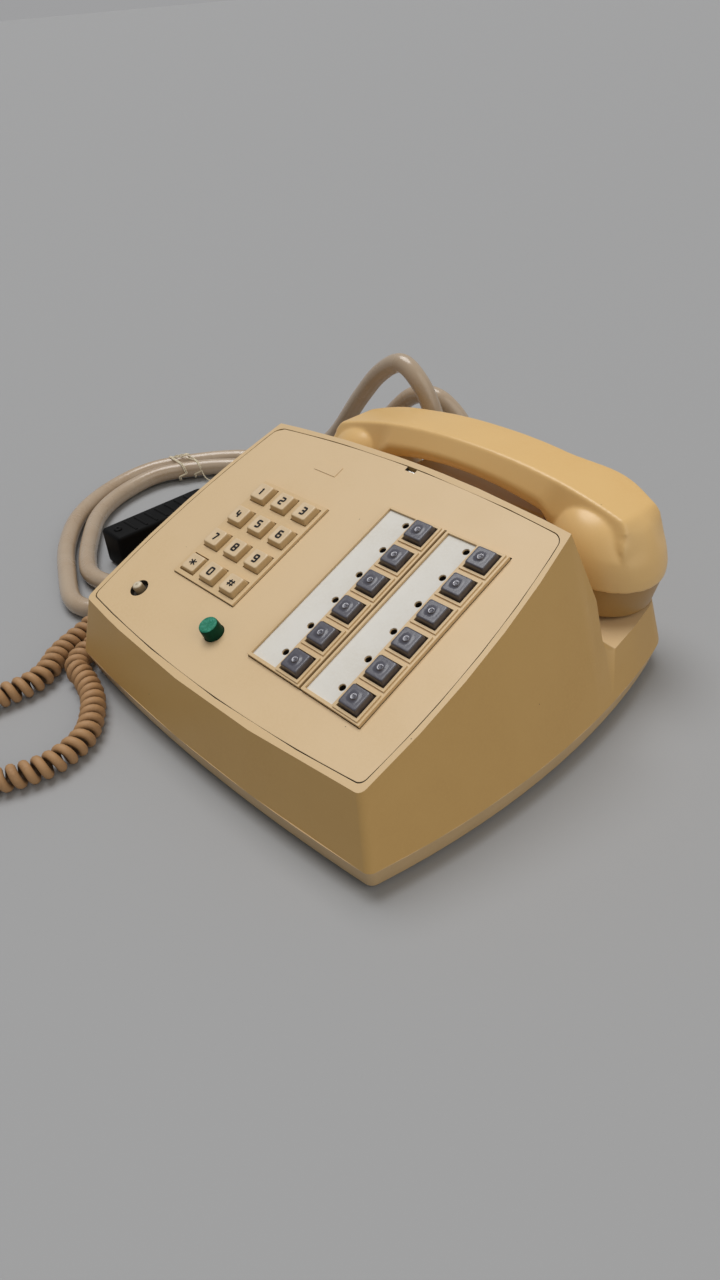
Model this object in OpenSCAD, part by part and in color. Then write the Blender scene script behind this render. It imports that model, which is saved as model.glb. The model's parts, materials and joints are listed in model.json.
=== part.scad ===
// Multi-line push-button desk telephone with its handset, curly cord and line cable.
// Millimetres, +Z up.  X runs across the telephone, Y from its front to its back, and the
// origin lies under the middle of the case, on the surface that the feet stand on.

/* [Case] */
// Width of the case at the joint between its two halves
case_width = 236; // [224:1:244]
// Depth of the case at that joint, front to back
case_depth = 217; // [211:1:222]
// Plan radius of the bowed side walls
side_radius = 404; // [380:4:460]
// Plan radius of the bowed front wall
front_radius = 1050; // [950:10:1200]
// Plan radius of the rear wall
rear_radius = 1150; // [1000:10:1400]
// How far behind the origin the case is widest (negative is forward)
widest_y = -11; // [-16:1:-4]
// Inward lean of the side walls, mm per mm of height
side_draft = 0.276; // [0.25:0.002:0.29]
// Inward lean of the front wall, mm per mm of height
front_draft = 0.204; // [0.18:0.002:0.22]
// Inward lean of the rear wall, mm per mm of height
rear_draft = 0.12; // [0.08:0.01:0.14]
// Radius of the two front corners
front_corner_r = 4; // [3:0.5:6]
// Radius of the two rear corners
rear_corner_r = 24; // [18:1:28]
// Thickness of the case walls
case_wall = 3; // [2.4:0.2:3.4]
// Height of the front rim above the table
rim_height = 46; // [43:0.5:49]
// Slope of the key face in degrees
face_angle = 21.7; // [20.5:0.1:22.5]
// How far behind the origin the back edge of the key face lies, at its middle
face_back = 35; // [33:0.5:37]
// Plan radius of the back edge of the key face
face_back_radius = 715; // [600:5:900]
// Height of the ledge under the ear and mouth caps
deck_height = 35.5; // [34.5:0.5:36]
// Half width of the saddle between the caps
saddle_half = 45; // [40:0.5:47]
// Height of the saddle
saddle_height = 62.5; // [58:0.5:64]

/* [Base] */
// Height of the base tray
tray_height = 11.4; // [10:0.2:12]
// How far the foot of the tray is drawn in under the case
tray_tuck = 3.1; // [2:0.1:4]
// Thickness of the tray floor and walls
tray_wall = 2.6; // [2:0.2:3.2]
// Height of the case above the table, on its feet
foot_height = 2.5; // [2:0.1:3.5]
// Radius of a rubber foot
foot_r = 7; // [5:0.5:9]
// Radius of the case screws
screw_r = 1.5; // [1.2:0.1:2]

/* [Face panel] */
// Width of the rim that stands around the panel
rim_lip = 2.9; // [2.4:0.1:3.2]
// Groove between the rim and the panel
panel_groove = 0.5; // [0.3:0.05:0.7]
// Thickness of the panel
panel_t = 2.6; // [2:0.1:3]
// Width of the ledge that the panel lies on
ledge_w = 3; // [2:0.5:4]
// Thickness of that ledge
ledge_t = 2.4; // [2:0.2:3]

/* [Dial] */
// Spacing of the dial keys across the face
dial_pitch_u = 15.9; // [14.8:0.1:16.4]
// Spacing of the dial keys up the face
dial_pitch_v = 16.3; // [14.8:0.1:16.8]
// Width of a dial key at its top
dial_key_w = 9.4; // [8.4:0.1:10.4]
// Height of a dial key above the face
dial_key_h = 4.2; // [3.6:0.1:5]
// Height of the dial bezel above the face
bezel_h = 1.2; // [0.8:0.1:1.6]
// Travel of every key
key_travel = 3; // [2:0.25:3.5]
// How far the star key has sunk, as its weak spring leaves it
star_sink = 1.6; // [0:0.1:2]

/* [Line keys] */
// Number of line keys in each column
line_rows = 6; // [6:1:6]
// Width of a line key
line_key_w = 11.2; // [10:0.1:11.8]
// Width of a line key's top face
line_key_top = 9.6; // [8.6:0.1:10.4]
// Height of a line key above the face
line_key_h = 5; // [4:0.1:6]
// Width of a line key frame
line_frame_w = 34.2; // [33:0.1:34.8]
// Length of a line key frame
line_frame_l = 94.1; // [93:0.1:97]
// Thickness of the paper label
label_t = 0.4; // [0.3:0.1:0.8]
// Radius of a lamp hole
lamp_hole_r = 1.5; // [1.2:0.1:1.8]

/* [Buttons] */
// Radius of the green button
green_r = 4.75; // [4.2:0.05:5.2]
// Height of the green button above the face
green_h = 6.4; // [5.4:0.1:7]
// Radius of the bare stem
stem_r = 2.6; // [2:0.1:3]
// Height of the bare stem above the face
stem_h = 2.6; // [1.5:0.1:3.5]

/* [Handset] */
// Length of the handset
handset_length = 212.4; // [211:0.2:215]
// Width of the handle
handle_width = 38; // [34:0.5:40]
// Thickness of the handle in its middle
handle_t = 20; // [17:0.5:21]
// Radius of the cups at their seam
cup_r = 27.4; // [26:0.2:28]
// Height of the screwed caps
cap_h = 16.3; // [15:0.1:17]
// Distance of each cup from the middle of the handset
cup_x = 78.3; // [77:0.1:80]
// Inward tilt of the cups in degrees
cup_tilt = 10; // [8:0.5:11]
// Travel of the hook plungers
hook_travel = 5; // [3:0.5:6]

/* [Cords] */
// Outside diameter of the curls of the handset cord
curl_od = 12.6; // [11:0.2:12.8]
// Diameter of the handset cord's own wire
curl_wire = 4.6; // [4:0.1:5]
// Number of curls
curl_count = 76; // [60:1:76]
// Diameter of the line cable
cable_d = 11; // [9:0.2:11.2]

/* [Clearances] */
// Running gap around every key and plunger
key_gap = 0.3; // [0.2:0.05:0.5]
// Gap around a piece that is fitted and does not move
fit_gap = 0.1; // [0.05:0.05:0.2]
// Height of the resting caps above the ledge
rest_gap = 0.3; // [0.2:0.05:0.4]

/* [Hidden] */
$fn = 48;
over = 1;                                      // how far a cutter reaches past what it cuts
seam_z = foot_height + tray_height;            // joint between tray and housing
front_y = -96;                                 // where the face plane starts
case_top = rim_height + (face_back - front_y) * tan(face_angle) + 8;
half_w = case_width / 2;
half_d = case_depth / 2;
// the case narrows upwards about this line, so front and rear lean by their own drafts
lean_x = side_draft / half_w;
lean_y = (front_draft + rear_draft) / case_depth;
lean_origin = front_draft / lean_y - half_d;
corner_margin = 0.05;                          // keeps the rear corners' outline off the walls'

face_depth = panel_t + 0.2;                    // bottom of the panel's seat
board_depth = panel_t + 7 + key_travel;        // top of the switch boards under the face
board_t = 3;

dial_u = -42.6;                                // middle of the dial on the face
dial_v = 66.8;
dial_columns = 3;
dial_rows = 4;
bezel_rim = 8.2;                               // bezel edge to the middle of the outer keys
bezel_w = (dial_columns - 1) * dial_pitch_u + 2 * bezel_rim - 0.8;
bezel_l = (dial_rows - 1) * dial_pitch_v + 2 * bezel_rim - 0.6;
dial_flare = 1.3;                              // how much wider a key is at the bezel
dial_foot_w = dial_key_w + dial_flare;

line_v = 66.65;                                // middle of the line keys on the face
line_pitch = (line_frame_l - 0.2) / line_rows; // spacing of the line keys up the face
line_u = [26.8, 62.3];                         // middles of the two frames
line_key_off = 8.7;                            // key column from the middle of its frame
lamp_off = line_key_off - 11;
lamp_up = 2;
frame_h = 0.8;                                 // frame top above the face
label_w = 16.2;
label_off = -7.6;
pocket_d = 0.6;                                // depth of the label pocket
ridge_w = 1.2;
ridge_h = 0.7;

green_u = -15.6;
green_v = 19.5;
spare_u = -76.1;
spare_v = 17.8;
spare_hole_r = 4.9;
latch_u = 1.8;
latch_v = (face_back - front_y) / cos(face_angle) - 4.4;
boss_wall = 1.6;
switch_w = 14;
switch_h = 6;

cup_y = 80.6;
cap_foot_r = cup_r - 2.2;
// the lowest edge of a tilted cap stays rest_gap above the ledge
cup_z = deck_height + rest_gap + cap_h * cos(cup_tilt) + cap_foot_r * sin(cup_tilt);
dome_h = 28;
cap_wall = 2.2;
cap_step = 0.9;                                // how far the shell's rim stands out over a cap
handle_y = 83.3;
handle_z = cup_z + 40.3;                       // top of the handle in its middle
shoulder_x = 92;                               // where the end facets start
shoulder_drop = 12.6;                          // how far the handle's top has sunk there
end_sink = 7.5;                                // how far the handle's ends lie inside the domes
relief_tip = 38.6;                             // cord relief's tip from the cup's axis
relief_z = 8.2;
relief_r = 4;
plunger_x = 62;
plunger_r = 4.5;
bar_z = 12.4 + hook_travel;
bar_h = 3;
tray_floor = foot_height + tray_wall;          // what stands inside the tray stands on this
hook_switch_size = [24, 16];
board_size = [110, 90, 4];                     // main board's width, depth and height above the tray
board_spot = [-15, -15];
ringer_spot = [70, -10];
ringer_r = 19;
ringer_h = 12;

cord_gland_y = -56;
cord_gland_z = 22;
cord_gland_tip = -124;
cable_gland_x = -30;
cable_gland_z = 23;
cable_gland_tip = 120;
hood = [24, 74, 24];
hood_place = [-204, -38, 0.2];
hood_entry = [-178, -2, 12];
screw_spots = [[-88, -82], [88, -82], [-88, 66], [88, 66]];
foot_spots = [[-88, -64], [88, -64], [-84, 86], [84, 86]];

// Axis of the handset cord, from the handset to the case
cord_axis = [
    [-cup_x - (relief_tip + rest_gap) * cos(cup_tilt) - relief_z * sin(cup_tilt), cup_y,
        cup_z - (relief_tip + rest_gap) * sin(cup_tilt) + relief_z * cos(cup_tilt)],
    [-125, 80.6, 56], [-134.5, 79, 51], [-140, 75, 40],
    [-140, 69, 24], [-136, 59, 11.5], [-129.5, 44, 7], [-125.5, 25, 6.5],
    [-125, 0, 6.5], [-124.5, -30, 6.5], [-122, -60, 6.5], [-118, -86, 6.5],
    [-113.5, -102, 6.5], [-105, -110.5, 6.5], [-94, -112, 6.5], [-74.5, -118, 6.5],
    [-55, -132.5, 6.5], [-48.5, -150, 6.5], [-50.5, -164, 6.5], [-57, -178, 6.5],
    [-68, -193, 6.5], [-84, -202, 6.5], [-101, -198, 6.5], [-112, -184, 6.5],
    [-115, -166, 6.5], [-113.5, -149, 6.5], [-111.5, -135, 6.5], [-114.5, -123, 6.5],
    [-123, -112, 6.5], [-129, -99.5, 6.5], [-133, -86, 7.5], [-135.5, -75, 12],
    [-136, -66, 17.5], [-133, -59, 21], [-128.8, -56.5, 22],
    [cord_gland_tip - rest_gap, cord_gland_y, cord_gland_z]
];
// Route of the line cable, from the case to its connector
cable_route = [
    [cable_gland_x, cable_gland_tip + 0.5, cable_gland_z], [-30, 129, 23], [-33, 141, 24],
    [-45, 151, 28], [-60, 154, 38], [-71, 153, 52], [-80, 150, 66], [-92, 146, 75],
    [-108, 142, 73], [-124, 137, 58], [-141, 132, 38], [-164, 127, 19], [-194, 122, 8.5],
    [-226, 116, 5.7], [-250, 103, 6.2], [-268, 78, 7.5], [-283, 46, 7.5],
    [-280, 10, 6.2], [-262, -23, 5.7], [-231, -49, 5.7], [-197, -67, 5.7],
    [-169, -78.5, 5.7], [-152.5, -76.5, 5.7], [-144, -66, 5.7], [-142, -50, 5.7],
    [-142, -20, 5.7], [-142, 15, 5.7], [-145, 38, 5.7], [-151, 58, 5.7],
    [-151, 80, 5.7], [-143, 101, 5.7], [-126, 118, 5.7], [-106, 129, 7],
    [-88, 133, 16], [-75, 131, 34], [-68, 125, 57], [-70, 120, 80], [-78, 118, 96],
    [-92, 118, 103.5], [-110, 118, 94], [-129, 118, 75], [-157, 116, 42],
    [-188, 111, 20], [-216, 104, 8], [-240, 92, 6.2], [-256, 72, 7.5],
    [-270.5, 45, 7.5], [-267.5, 13, 6.2], [-251.5, -14.5, 5.7], [-223.5, -37, 5.7],
    [-199, -52, 5.7], [-183, -57, 5.7], [-167, -54, 5.7], [-157, -43, 6],
    [-153.8, -29, 7.5], [-155.5, -15, 10], [-163, -5, 12],
    [hood_entry.x + rest_gap, hood_entry.y, hood_entry.z]
];

// ---------------------------------------------------------------- curves and tubes

function unit(v) = v / norm(v);

// One step of a smooth curve through points a, b, c, d, between b and c
function blend_point(a, b, c, d, t) =
    0.5 * (2 * b + (c - a) * t + (2 * a - 5 * b + 4 * c - d) * t * t
        + (3 * b - 3 * c + d - a) * t * t * t);

// A smooth curve through all the points of p, with n steps between neighbours
function smooth(p, n) = let (last = len(p) - 1) concat(
    [for (i = [0:last - 1]) for (k = [0:n - 1]) blend_point(
        i > 0 ? p[i - 1] : 2 * p[0] - p[1], p[i], p[i + 1],
        i < last - 1 ? p[i + 2] : 2 * p[last] - p[last - 1], k / n)],
    [p[last]]);

// Distance along p to each of its points
function running_length(p) =
    [for (i = 0, s = 0; i < len(p); i = i + 1, s = i < len(p) ? s + norm(p[i] - p[i - 1]) : s) s];

// The points of p at the distances in list
function at_lengths(p, list) = let (
        s = running_length(p),
        tx = [for (i = [0:len(p) - 1]) [s[i], p[i].x]],
        ty = [for (i = [0:len(p) - 1]) [s[i], p[i].y]],
        tz = [for (i = [0:len(p) - 1]) [s[i], p[i].z]]
    ) [for (q = list) [lookup(q, tx), lookup(q, ty), lookup(q, tz)]];

// Direction of the curve at each of its points
function headings(p) = let (last = len(p) - 1)
    [for (i = [0:last]) unit(p[min(i + 1, last)] - p[max(i - 1, 0)])];

// Side vectors that never twist about the curve
function sides(t, first) =
    [for (i = 0, u = unit(first - (first * t[0]) * t[0]); i < len(t);
        i = i + 1, u = i < len(t) ? unit(u - (u * t[i]) * t[i]) : u) u];

// A closed round tube of diameter d along the points p, with n sides
module tube(p, d, n, first = [0, 0, 1]) {
    t = headings(p);
    u = sides(t, first);
    rings = [for (i = [0:len(p) - 1]) for (k = [0:n - 1])
        p[i] + d / 2 * (cos(360 * k / n) * u[i] + sin(360 * k / n) * cross(t[i], u[i]))];
    last = len(rings);
    walls = [for (i = [0:len(p) - 2]) for (k = [0:n - 1]) let (
            a = i * n + k, b = i * n + (k + 1) % n)
        each [[a, a + n, b], [b, a + n, b + n]]];
    caps = [for (k = [0:n - 1]) each [
        [last, k, (k + 1) % n],
        [last + 1, last - n + (k + 1) % n, last - n + k]]];
    polyhedron(concat(rings, [p[0], p[len(p) - 1]]), concat(walls, caps));
}

// Least distance between points of p that are more than skip places apart
function least_gap(p, skip) = min([for (i = [0:len(p) - skip - 1])
    min([for (j = [i + skip:len(p) - 1]) norm(p[i] - p[j])])]);

// ---------------------------------------------------------------- the case

// Plan of the case at its joint, drawn in by inset
module plan_arcs() {
    intersection() {
        translate([side_radius - half_w, widest_y]) circle(side_radius, $fn = 200);
        translate([half_w - side_radius, widest_y]) circle(side_radius, $fn = 200);
        translate([0, front_radius - half_d]) circle(front_radius, $fn = 480);
        translate([0, half_d - rear_radius]) circle(rear_radius, $fn = 480);
    }
}

module rounded_plan(r, inset) {
    offset(r = r, $fn = 40) offset(delta = -r - inset) plan_arcs();
}

module plan(inset = 0) {
    intersection() {
        rounded_plan(front_corner_r, inset);
        union() {
            rounded_plan(rear_corner_r, inset - corner_margin);
            translate([-case_width, -case_depth]) square([2 * case_width, case_depth]);
        }
    }
}

// The leaning walls from height low above the joint up past the highest rim
module leaning_walls(inset, low = 0) {
    high = case_top - seam_z;
    start = [1 - lean_x * low, 1 - lean_y * low];
    finish = [1 - lean_x * high, 1 - lean_y * high];
    translate([0, lean_origin, seam_z + low])
        linear_extrude(high - low, scale = [finish.x / start.x, finish.y / start.y], slices = 1)
            scale(start) translate([0, -lean_origin]) plan(inset);
}

// Side profile behind the key face: the leaning back of the wedge and the ledge
module back_profile(inset) {
    reach = 200;
    fillet = 10;
    offset(r = -fillet, $fn = 40) offset(r = fillet, $fn = 40) offset(delta = -inset)
        polygon([
            [face_back - face_back_radius * 0.6, -reach],
            [face_back - face_back_radius * 0.6, case_top + reach],
            [face_back, case_top + reach],
            [face_back, rim_height + (face_back - front_y) * tan(face_angle)],
            [face_back + 11.6, saddle_height],
            [face_back + 12.2, deck_height],
            [half_d + reach, deck_height],
            [half_d + reach, -reach]
        ]);
}

// The bowed form behind the key face, without its upper plane
module back_form(inset) {
    spread = 36;
    translate([0, face_back - face_back_radius, 0])
        rotate(90 - spread / 2)
            rotate_extrude(angle = spread, $fn = 240)
                translate([face_back_radius - face_back, 0]) back_profile(inset);
}

module core(inset, low = 0) {
    intersection() {
        leaning_walls(inset, low);
        back_form(inset);
    }
}

// Places children on the key face: x across, y up the slope, z out of the face
module on_face(u = 0, v = 0, h = 0) {
    translate([0, front_y, rim_height]) rotate([face_angle, 0, 0]) translate([u, v, h])
        children();
}

// All the space between two depths under the key face
module face_slab(top, bottom) {
    on_face(-case_width, -case_depth, -bottom)
        cube([2 * case_width, 3 * case_depth, bottom - top]);
}

// The saddle between the caps, drawn in by inset
module saddle(inset = 0) {
    front = face_back + 3;
    translate([-saddle_half + inset, 0, 0]) rotate([90, 0, 90])
        linear_extrude(2 * (saddle_half - inset))
            offset(r = 4) offset(delta = -inset - 4)
                polygon([
                    [front, seam_z + 8], [front, saddle_height - 5],
                    [front + 22, saddle_height - 3.5], [cup_y - 4, saddle_height],
                    [cup_y + 12, saddle_height], [cup_y + 21, saddle_height - 6],
                    [cup_y + 22.5, seam_z + 8]
                ]);
}

module housing() {
    deep = 200;
    boss_r = 4;
    boss_h = 14;
    rib_t = 2.4;
    color("#d9bf8f") difference() {
        union() {
            difference() {
                union() {
                    intersection() {
                        core(0);
                        face_slab(0, deep);
                    }
                    saddle();
                }
                intersection() {
                    core(case_wall, -over);
                    face_slab(face_depth + ledge_t, deep);
                }
                saddle(case_wall);
                intersection() {
                    core(rim_lip + ledge_w, -over);
                    face_slab(-over, deep);
                }
                intersection() {
                    core(rim_lip);
                    face_slab(-over, face_depth);
                }
            }
            for (p = screw_spots)
                translate([p.x, p.y, seam_z]) cylinder(r = boss_r, h = boss_h);
            intersection() {
                core(case_wall / 2);
                for (p = screw_spots)
                    translate([min(p.x, sign(p.x) * half_w), p.y - rib_t / 2, seam_z])
                        cube([abs(half_w - abs(p.x)), rib_t, boss_h]);
            }
        }
        for (p = screw_spots)
            translate([p.x, p.y, seam_z - over]) cylinder(r = screw_r + fit_gap, h = 12);
        for (side = [-1, 1])
            translate([side * plunger_x, cup_y, deck_height - case_wall - 8])
                cylinder(r = plunger_r + key_gap, h = case_wall + 16);
        translate([-half_w - over, cord_gland_y, cord_gland_z]) rotate([0, 90, 0])
            cylinder(r = 5.2 + fit_gap, h = 30);
        translate([cable_gland_x, half_d + over, cable_gland_z]) rotate([90, 0, 0])
            cylinder(r = 7.6 + fit_gap, h = 20);
    }
}

module base_tray() {
    tuck = [1 - tray_tuck / half_w, 1 - tray_tuck / half_d];
    color("#cdb283") difference() {
        translate([0, 0, seam_z]) mirror([0, 0, 1])
            linear_extrude(tray_height, scale = tuck, slices = 1) plan();
        translate([0, 0, foot_height + tray_wall])
            linear_extrude(tray_height) plan(tray_tuck + tray_wall);
        for (p = foot_spots)
            translate([p.x, p.y, foot_height - over]) cylinder(r = foot_r + fit_gap, h = over + 1);
        for (p = screw_spots) {
            translate([p.x, p.y, 0]) cylinder(r = screw_r + 2 * fit_gap, h = seam_z);
            translate([p.x, p.y, foot_height - over]) cylinder(r = 2 * screw_r + 0.3, h = over + 1.2);
        }
    }
    color("#cdb283") for (p = screw_spots) difference() {
        translate([p.x, p.y, foot_height + tray_wall - 0.01])
            cylinder(r = 4, h = tray_height - tray_wall + 0.01);
        translate([p.x, p.y, 0]) cylinder(r = screw_r + 2 * fit_gap, h = seam_z + over);
    }
}

module rubber_feet() {
    color("#2b2a28") for (p = foot_spots)
        translate([p.x, p.y, 0]) {
            cylinder(r1 = foot_r - 0.8, r2 = foot_r, h = 1);
            translate([0, 0, 1]) cylinder(r = foot_r, h = foot_height);
        }
}

module case_screws() {
    color("silver") for (p = screw_spots) translate([p.x, p.y, foot_height + 0.2]) {
        cylinder(r = 2 * screw_r, h = 1);
        translate([0, 0, 1]) cylinder(r = screw_r, h = tray_height + 7);
    }
}

// ---------------------------------------------------------------- the face panel

dial_half = [bezel_w / 2 + key_gap, bezel_l / 2 + key_gap];
line_left = line_u[0] - line_frame_w / 2 - key_gap;
line_right = line_u[1] + line_frame_w / 2 + key_gap;

module face_panel() {
    color("#d8bd8c") difference() {
        union() {
            intersection() {
                core(rim_lip + panel_groove);
                face_slab(0, panel_t);
            }
            on_face(-40.1, 120.3, -over) cube([15, 6.4, 2 * over + 0.7], center = true);
            on_face(green_u, green_v, -board_depth + switch_h - 4.6)
                cylinder(r = green_r + key_gap + boss_wall, h = board_depth - switch_h + 4.6 - over);
            on_face(spare_u, spare_v, -board_depth + switch_h - 4.6)
                cylinder(r = spare_hole_r + boss_wall, h = board_depth - switch_h + 4.6 - over);
        }
        on_face(dial_u - dial_half.x, dial_v - dial_half.y, -panel_t - over)
            cube([2 * dial_half.x, 2 * dial_half.y, panel_t + 2 * over]);
        on_face(line_left, line_v - line_frame_l / 2 - key_gap, -panel_t - over)
            cube([line_right - line_left, line_frame_l + 2 * key_gap, panel_t + 2 * over]);
        on_face(green_u, green_v, -board_depth)
            cylinder(r = green_r + key_gap, h = 2 * board_depth);
        on_face(spare_u, spare_v, -board_depth)
            cylinder(r = spare_hole_r, h = 2 * board_depth);
        on_face(latch_u, latch_v, 0) cube([6.2, 2.6, 4 * panel_t], center = true);
    }
}

// The tongue of the catch that holds the panel down, standing on the ledge in its slot
module latch_clip() {
    color("silver") on_face(latch_u, latch_v - 0.3, 0.7 - face_depth)
        cube([5.2, 1.2, 1.4 - 2 * fit_gap], center = true);
}

function dial_spot(column, row) = [
    dial_u + (column - 1) * dial_pitch_u,
    dial_v + (1.5 - row) * dial_pitch_v];

module dial_bezel() {
    leg = board_depth - panel_t;
    color("#d6ba88") difference() {
        union() {
            on_face(dial_u, dial_v, (bezel_h - panel_t) / 2)
                cube([bezel_w, bezel_l, bezel_h + panel_t], center = true);
            for (a = [-1, 1], b = [-1, 1])
                on_face(dial_u + a * (bezel_w / 2 - 1.2), dial_v + b * (bezel_l / 2 - 1.2), -board_depth)
                    translate([-1.2, -1.2, 0]) cube([2.4, 2.4, leg + 0.5]);
        }
        for (column = [0:dial_columns - 1], row = [0:dial_rows - 1])
            on_face(dial_spot(column, row)[0], dial_spot(column, row)[1], 0)
                cube([dial_foot_w + 2 * key_gap, dial_foot_w + 2 * key_gap, 8 * panel_t], center = true);
    }
}

// Corners of a square of width w, rounded by r
function soft_square(w, r) = [for (q = [0:3]) for (k = [0:3]) let (a = 90 * q + 30 * k)
    (w / 2 - r) * sqrt(2) * [cos(90 * q + 45), sin(90 * q + 45)] + r * [cos(a), sin(a)]];

// A dial key: a flared cap on a square stem
module dial_key(column, row, sink = 0) {
    flare = dial_foot_w / dial_key_w;
    rise = dial_key_h - bezel_h;
    spot = dial_spot(column, row);
    color("#dcc498") on_face(spot[0], spot[1], dial_key_h - sink) {
        translate([0, 0, -rise])
            linear_extrude(rise, scale = 1 / flare, slices = 1) polygon(soft_square(dial_foot_w, 1));
        translate([0, 0, -rise - panel_t])
            linear_extrude(panel_t) polygon(soft_square(dial_foot_w, 1));
        translate([-2, -2, -rise - panel_t - 3.5]) cube([4, 4, 4]);
    }
}

module dial_key_1() { dial_key(0, 0); }
module dial_key_2() { dial_key(1, 0); }
module dial_key_3() { dial_key(2, 0); }
module dial_key_4() { dial_key(0, 1); }
module dial_key_5() { dial_key(1, 1); }
module dial_key_6() { dial_key(2, 1); }
module dial_key_7() { dial_key(0, 2); }
module dial_key_8() { dial_key(1, 2); }
module dial_key_9() { dial_key(2, 2); }
module dial_key_star() { dial_key(0, 3, star_sink); }
module dial_key_0() { dial_key(1, 3); }
module dial_key_hash() { dial_key(2, 3); }

module dial_switch_board() {
    color("#5a4a32") on_face(dial_u, dial_v, -board_depth - board_t / 2)
        cube([bezel_w, bezel_l, board_t], center = true);
}

// ---------------------------------------------------------------- line keys

function line_spot(side, row) = [
    line_u[side] + line_key_off,
    line_v + ((line_rows - 1) / 2 - row) * line_pitch];

// One line key frame: label pocket, key wells with their ridges, lamp holes, end rail
module line_frame(side) {
    leg = board_depth - panel_t;
    well = line_key_w + 2 * key_gap;
    color("#d6ba88") difference() {
        union() {
            on_face(line_u[side], line_v, (frame_h - panel_t) / 2)
                cube([line_frame_w, line_frame_l, frame_h + panel_t], center = true);
            for (row = [0:line_rows - 1])
                on_face(line_spot(side, row)[0], line_spot(side, row)[1], frame_h)
                    cube([well + 2 * ridge_w, well + 2 * ridge_w, 2 * ridge_h], center = true);
            for (b = [-1, 1])
                on_face(line_u[side] - line_frame_w / 2, line_v + b * (line_frame_l / 2 - 1) - 1,
                    -board_depth)
                    cube([2, 2, leg + 0.5]);
        }
        on_face(line_u[side] + label_off, line_v, frame_h)
            cube([label_w + 2 * fit_gap, line_frame_l - 3, 2 * pocket_d], center = true);
        for (row = [0:line_rows - 1]) {
            on_face(line_spot(side, row)[0], line_spot(side, row)[1], 0)
                cube([well, well, 8 * panel_t], center = true);
            on_face(line_u[side] + lamp_off, line_spot(side, row)[1] + lamp_up, -2 * panel_t)
                cylinder(r = lamp_hole_r, h = 4 * panel_t);
        }
    }
}

module line_frame_left() { line_frame(0); }
module line_frame_right() { line_frame(1); }

module label(side) {
    notch = line_key_w + 2 * (key_gap + ridge_w + fit_gap);
    color("white") difference() {
        on_face(line_u[side] + label_off, line_v, frame_h - pocket_d + label_t / 2)
            cube([label_w, line_frame_l - 3 - 2 * fit_gap, label_t], center = true);
        for (row = [0:line_rows - 1]) {
            on_face(line_u[side] + lamp_off, line_spot(side, row)[1] + lamp_up, -panel_t)
                cylinder(r = lamp_hole_r + 0.2, h = 4 * panel_t);
            on_face(line_spot(side, row)[0], line_spot(side, row)[1], 0)
                cube([notch, notch, 4 * panel_t], center = true);
        }
    }
}

module label_left() { label(0); }
module label_right() { label(1); }

// A line key: a clear block with a lens dimple over its lamp
module line_key(side, row) {
    spot = line_spot(side, row);
    color("#6d737d") on_face(spot[0], spot[1], line_key_h) difference() {
        union() {
            translate([0, 0, -line_key_h])
                linear_extrude(line_key_h, scale = line_key_top / line_key_w, slices = 1)
                    square(line_key_w, center = true);
            translate([0, 0, -line_key_h - panel_t]) linear_extrude(panel_t)
                square(line_key_w, center = true);
            translate([0, 0, -line_key_h - panel_t - 1.5]) cube([4, 4, 4], center = true);
        }
        translate([0, 0, -0.4]) cylinder(r = 1.6, h = 1);
    }
}

module line_key_left_1() { line_key(0, 0); }
module line_key_left_2() { line_key(0, 1); }
module line_key_left_3() { line_key(0, 2); }
module line_key_left_4() { line_key(0, 3); }
module line_key_left_5() { line_key(0, 4); }
module line_key_left_6() { line_key(0, 5); }
module line_key_right_1() { line_key(1, 0); }
module line_key_right_2() { line_key(1, 1); }
module line_key_right_3() { line_key(1, 2); }
module line_key_right_4() { line_key(1, 3); }
module line_key_right_5() { line_key(1, 4); }
module line_key_right_6() { line_key(1, 5); }

module line_switch_board() {
    middle = (line_left + line_right) / 2;
    color("#5a4a32") on_face(middle, line_v, -board_depth - board_t / 2)
        cube([line_right - line_left - 2 * key_gap, line_frame_l, board_t], center = true);
}

// Lamps stand on the board under the lamp holes
module line_lamps() {
    color("#e8d27a") for (side = [0, 1], row = [0:line_rows - 1])
        on_face(line_u[side] + lamp_off, line_spot(side, row)[1] + lamp_up, -board_depth)
            cylinder(r = lamp_hole_r - key_gap, h = board_depth - panel_t);
}

// ---------------------------------------------------------------- buttons

module green_button() {
    color("#0f6b52") on_face(green_u, green_v, 0) {
        translate([0, 0, -panel_t]) cylinder(r = green_r, h = panel_t + green_h - 0.8);
        translate([0, 0, green_h - 0.8]) cylinder(r1 = green_r, r2 = green_r - 0.8, h = 0.8);
        translate([0, 0, -panel_t - 4]) cylinder(r = 1.8, h = 5);
    }
}

module spare_stem() {
    color("#e3d6b4") on_face(spare_u, spare_v, 0) {
        translate([0, 0, -panel_t - 4]) cylinder(r = 1.8, h = 5);
        translate([0, 0, -panel_t]) cylinder(r = stem_r, h = panel_t + stem_h);
        translate([0, 0, -panel_t - 2.4]) cylinder(r = spare_hole_r - key_gap, h = 2.4);
    }
}

// A push switch under its button, at the end of the panel's boss
module push_switch(u, v) {
    color("#34322f") on_face(u, v, -board_depth + switch_h - 4.6 - switch_h / 2) difference() {
        cube([switch_w, switch_w, switch_h], center = true);
        cylinder(r = 1.8 + key_gap, h = switch_h + over, center = true);
    }
}

module green_switch() { push_switch(green_u, green_v); }
module spare_switch() { push_switch(spare_u, spare_v); }

// ---------------------------------------------------------------- hook

// Places children at a cup's seam, z up along its axis; side is 1 for the ear end
module at_cup(side) {
    translate([side * cup_x, cup_y, cup_z]) rotate([0, side * cup_tilt, 0]) children();
}

module hook_plungers() {
    color("#efe6cf") for (side = [-1, 1]) difference() {
        translate([side * plunger_x, cup_y, bar_z + bar_h]) cylinder(r = plunger_r, h = 40);
        at_cup(side) translate([-50, -50, -cap_h - rest_gap]) cube(100);
    }
}

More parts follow.
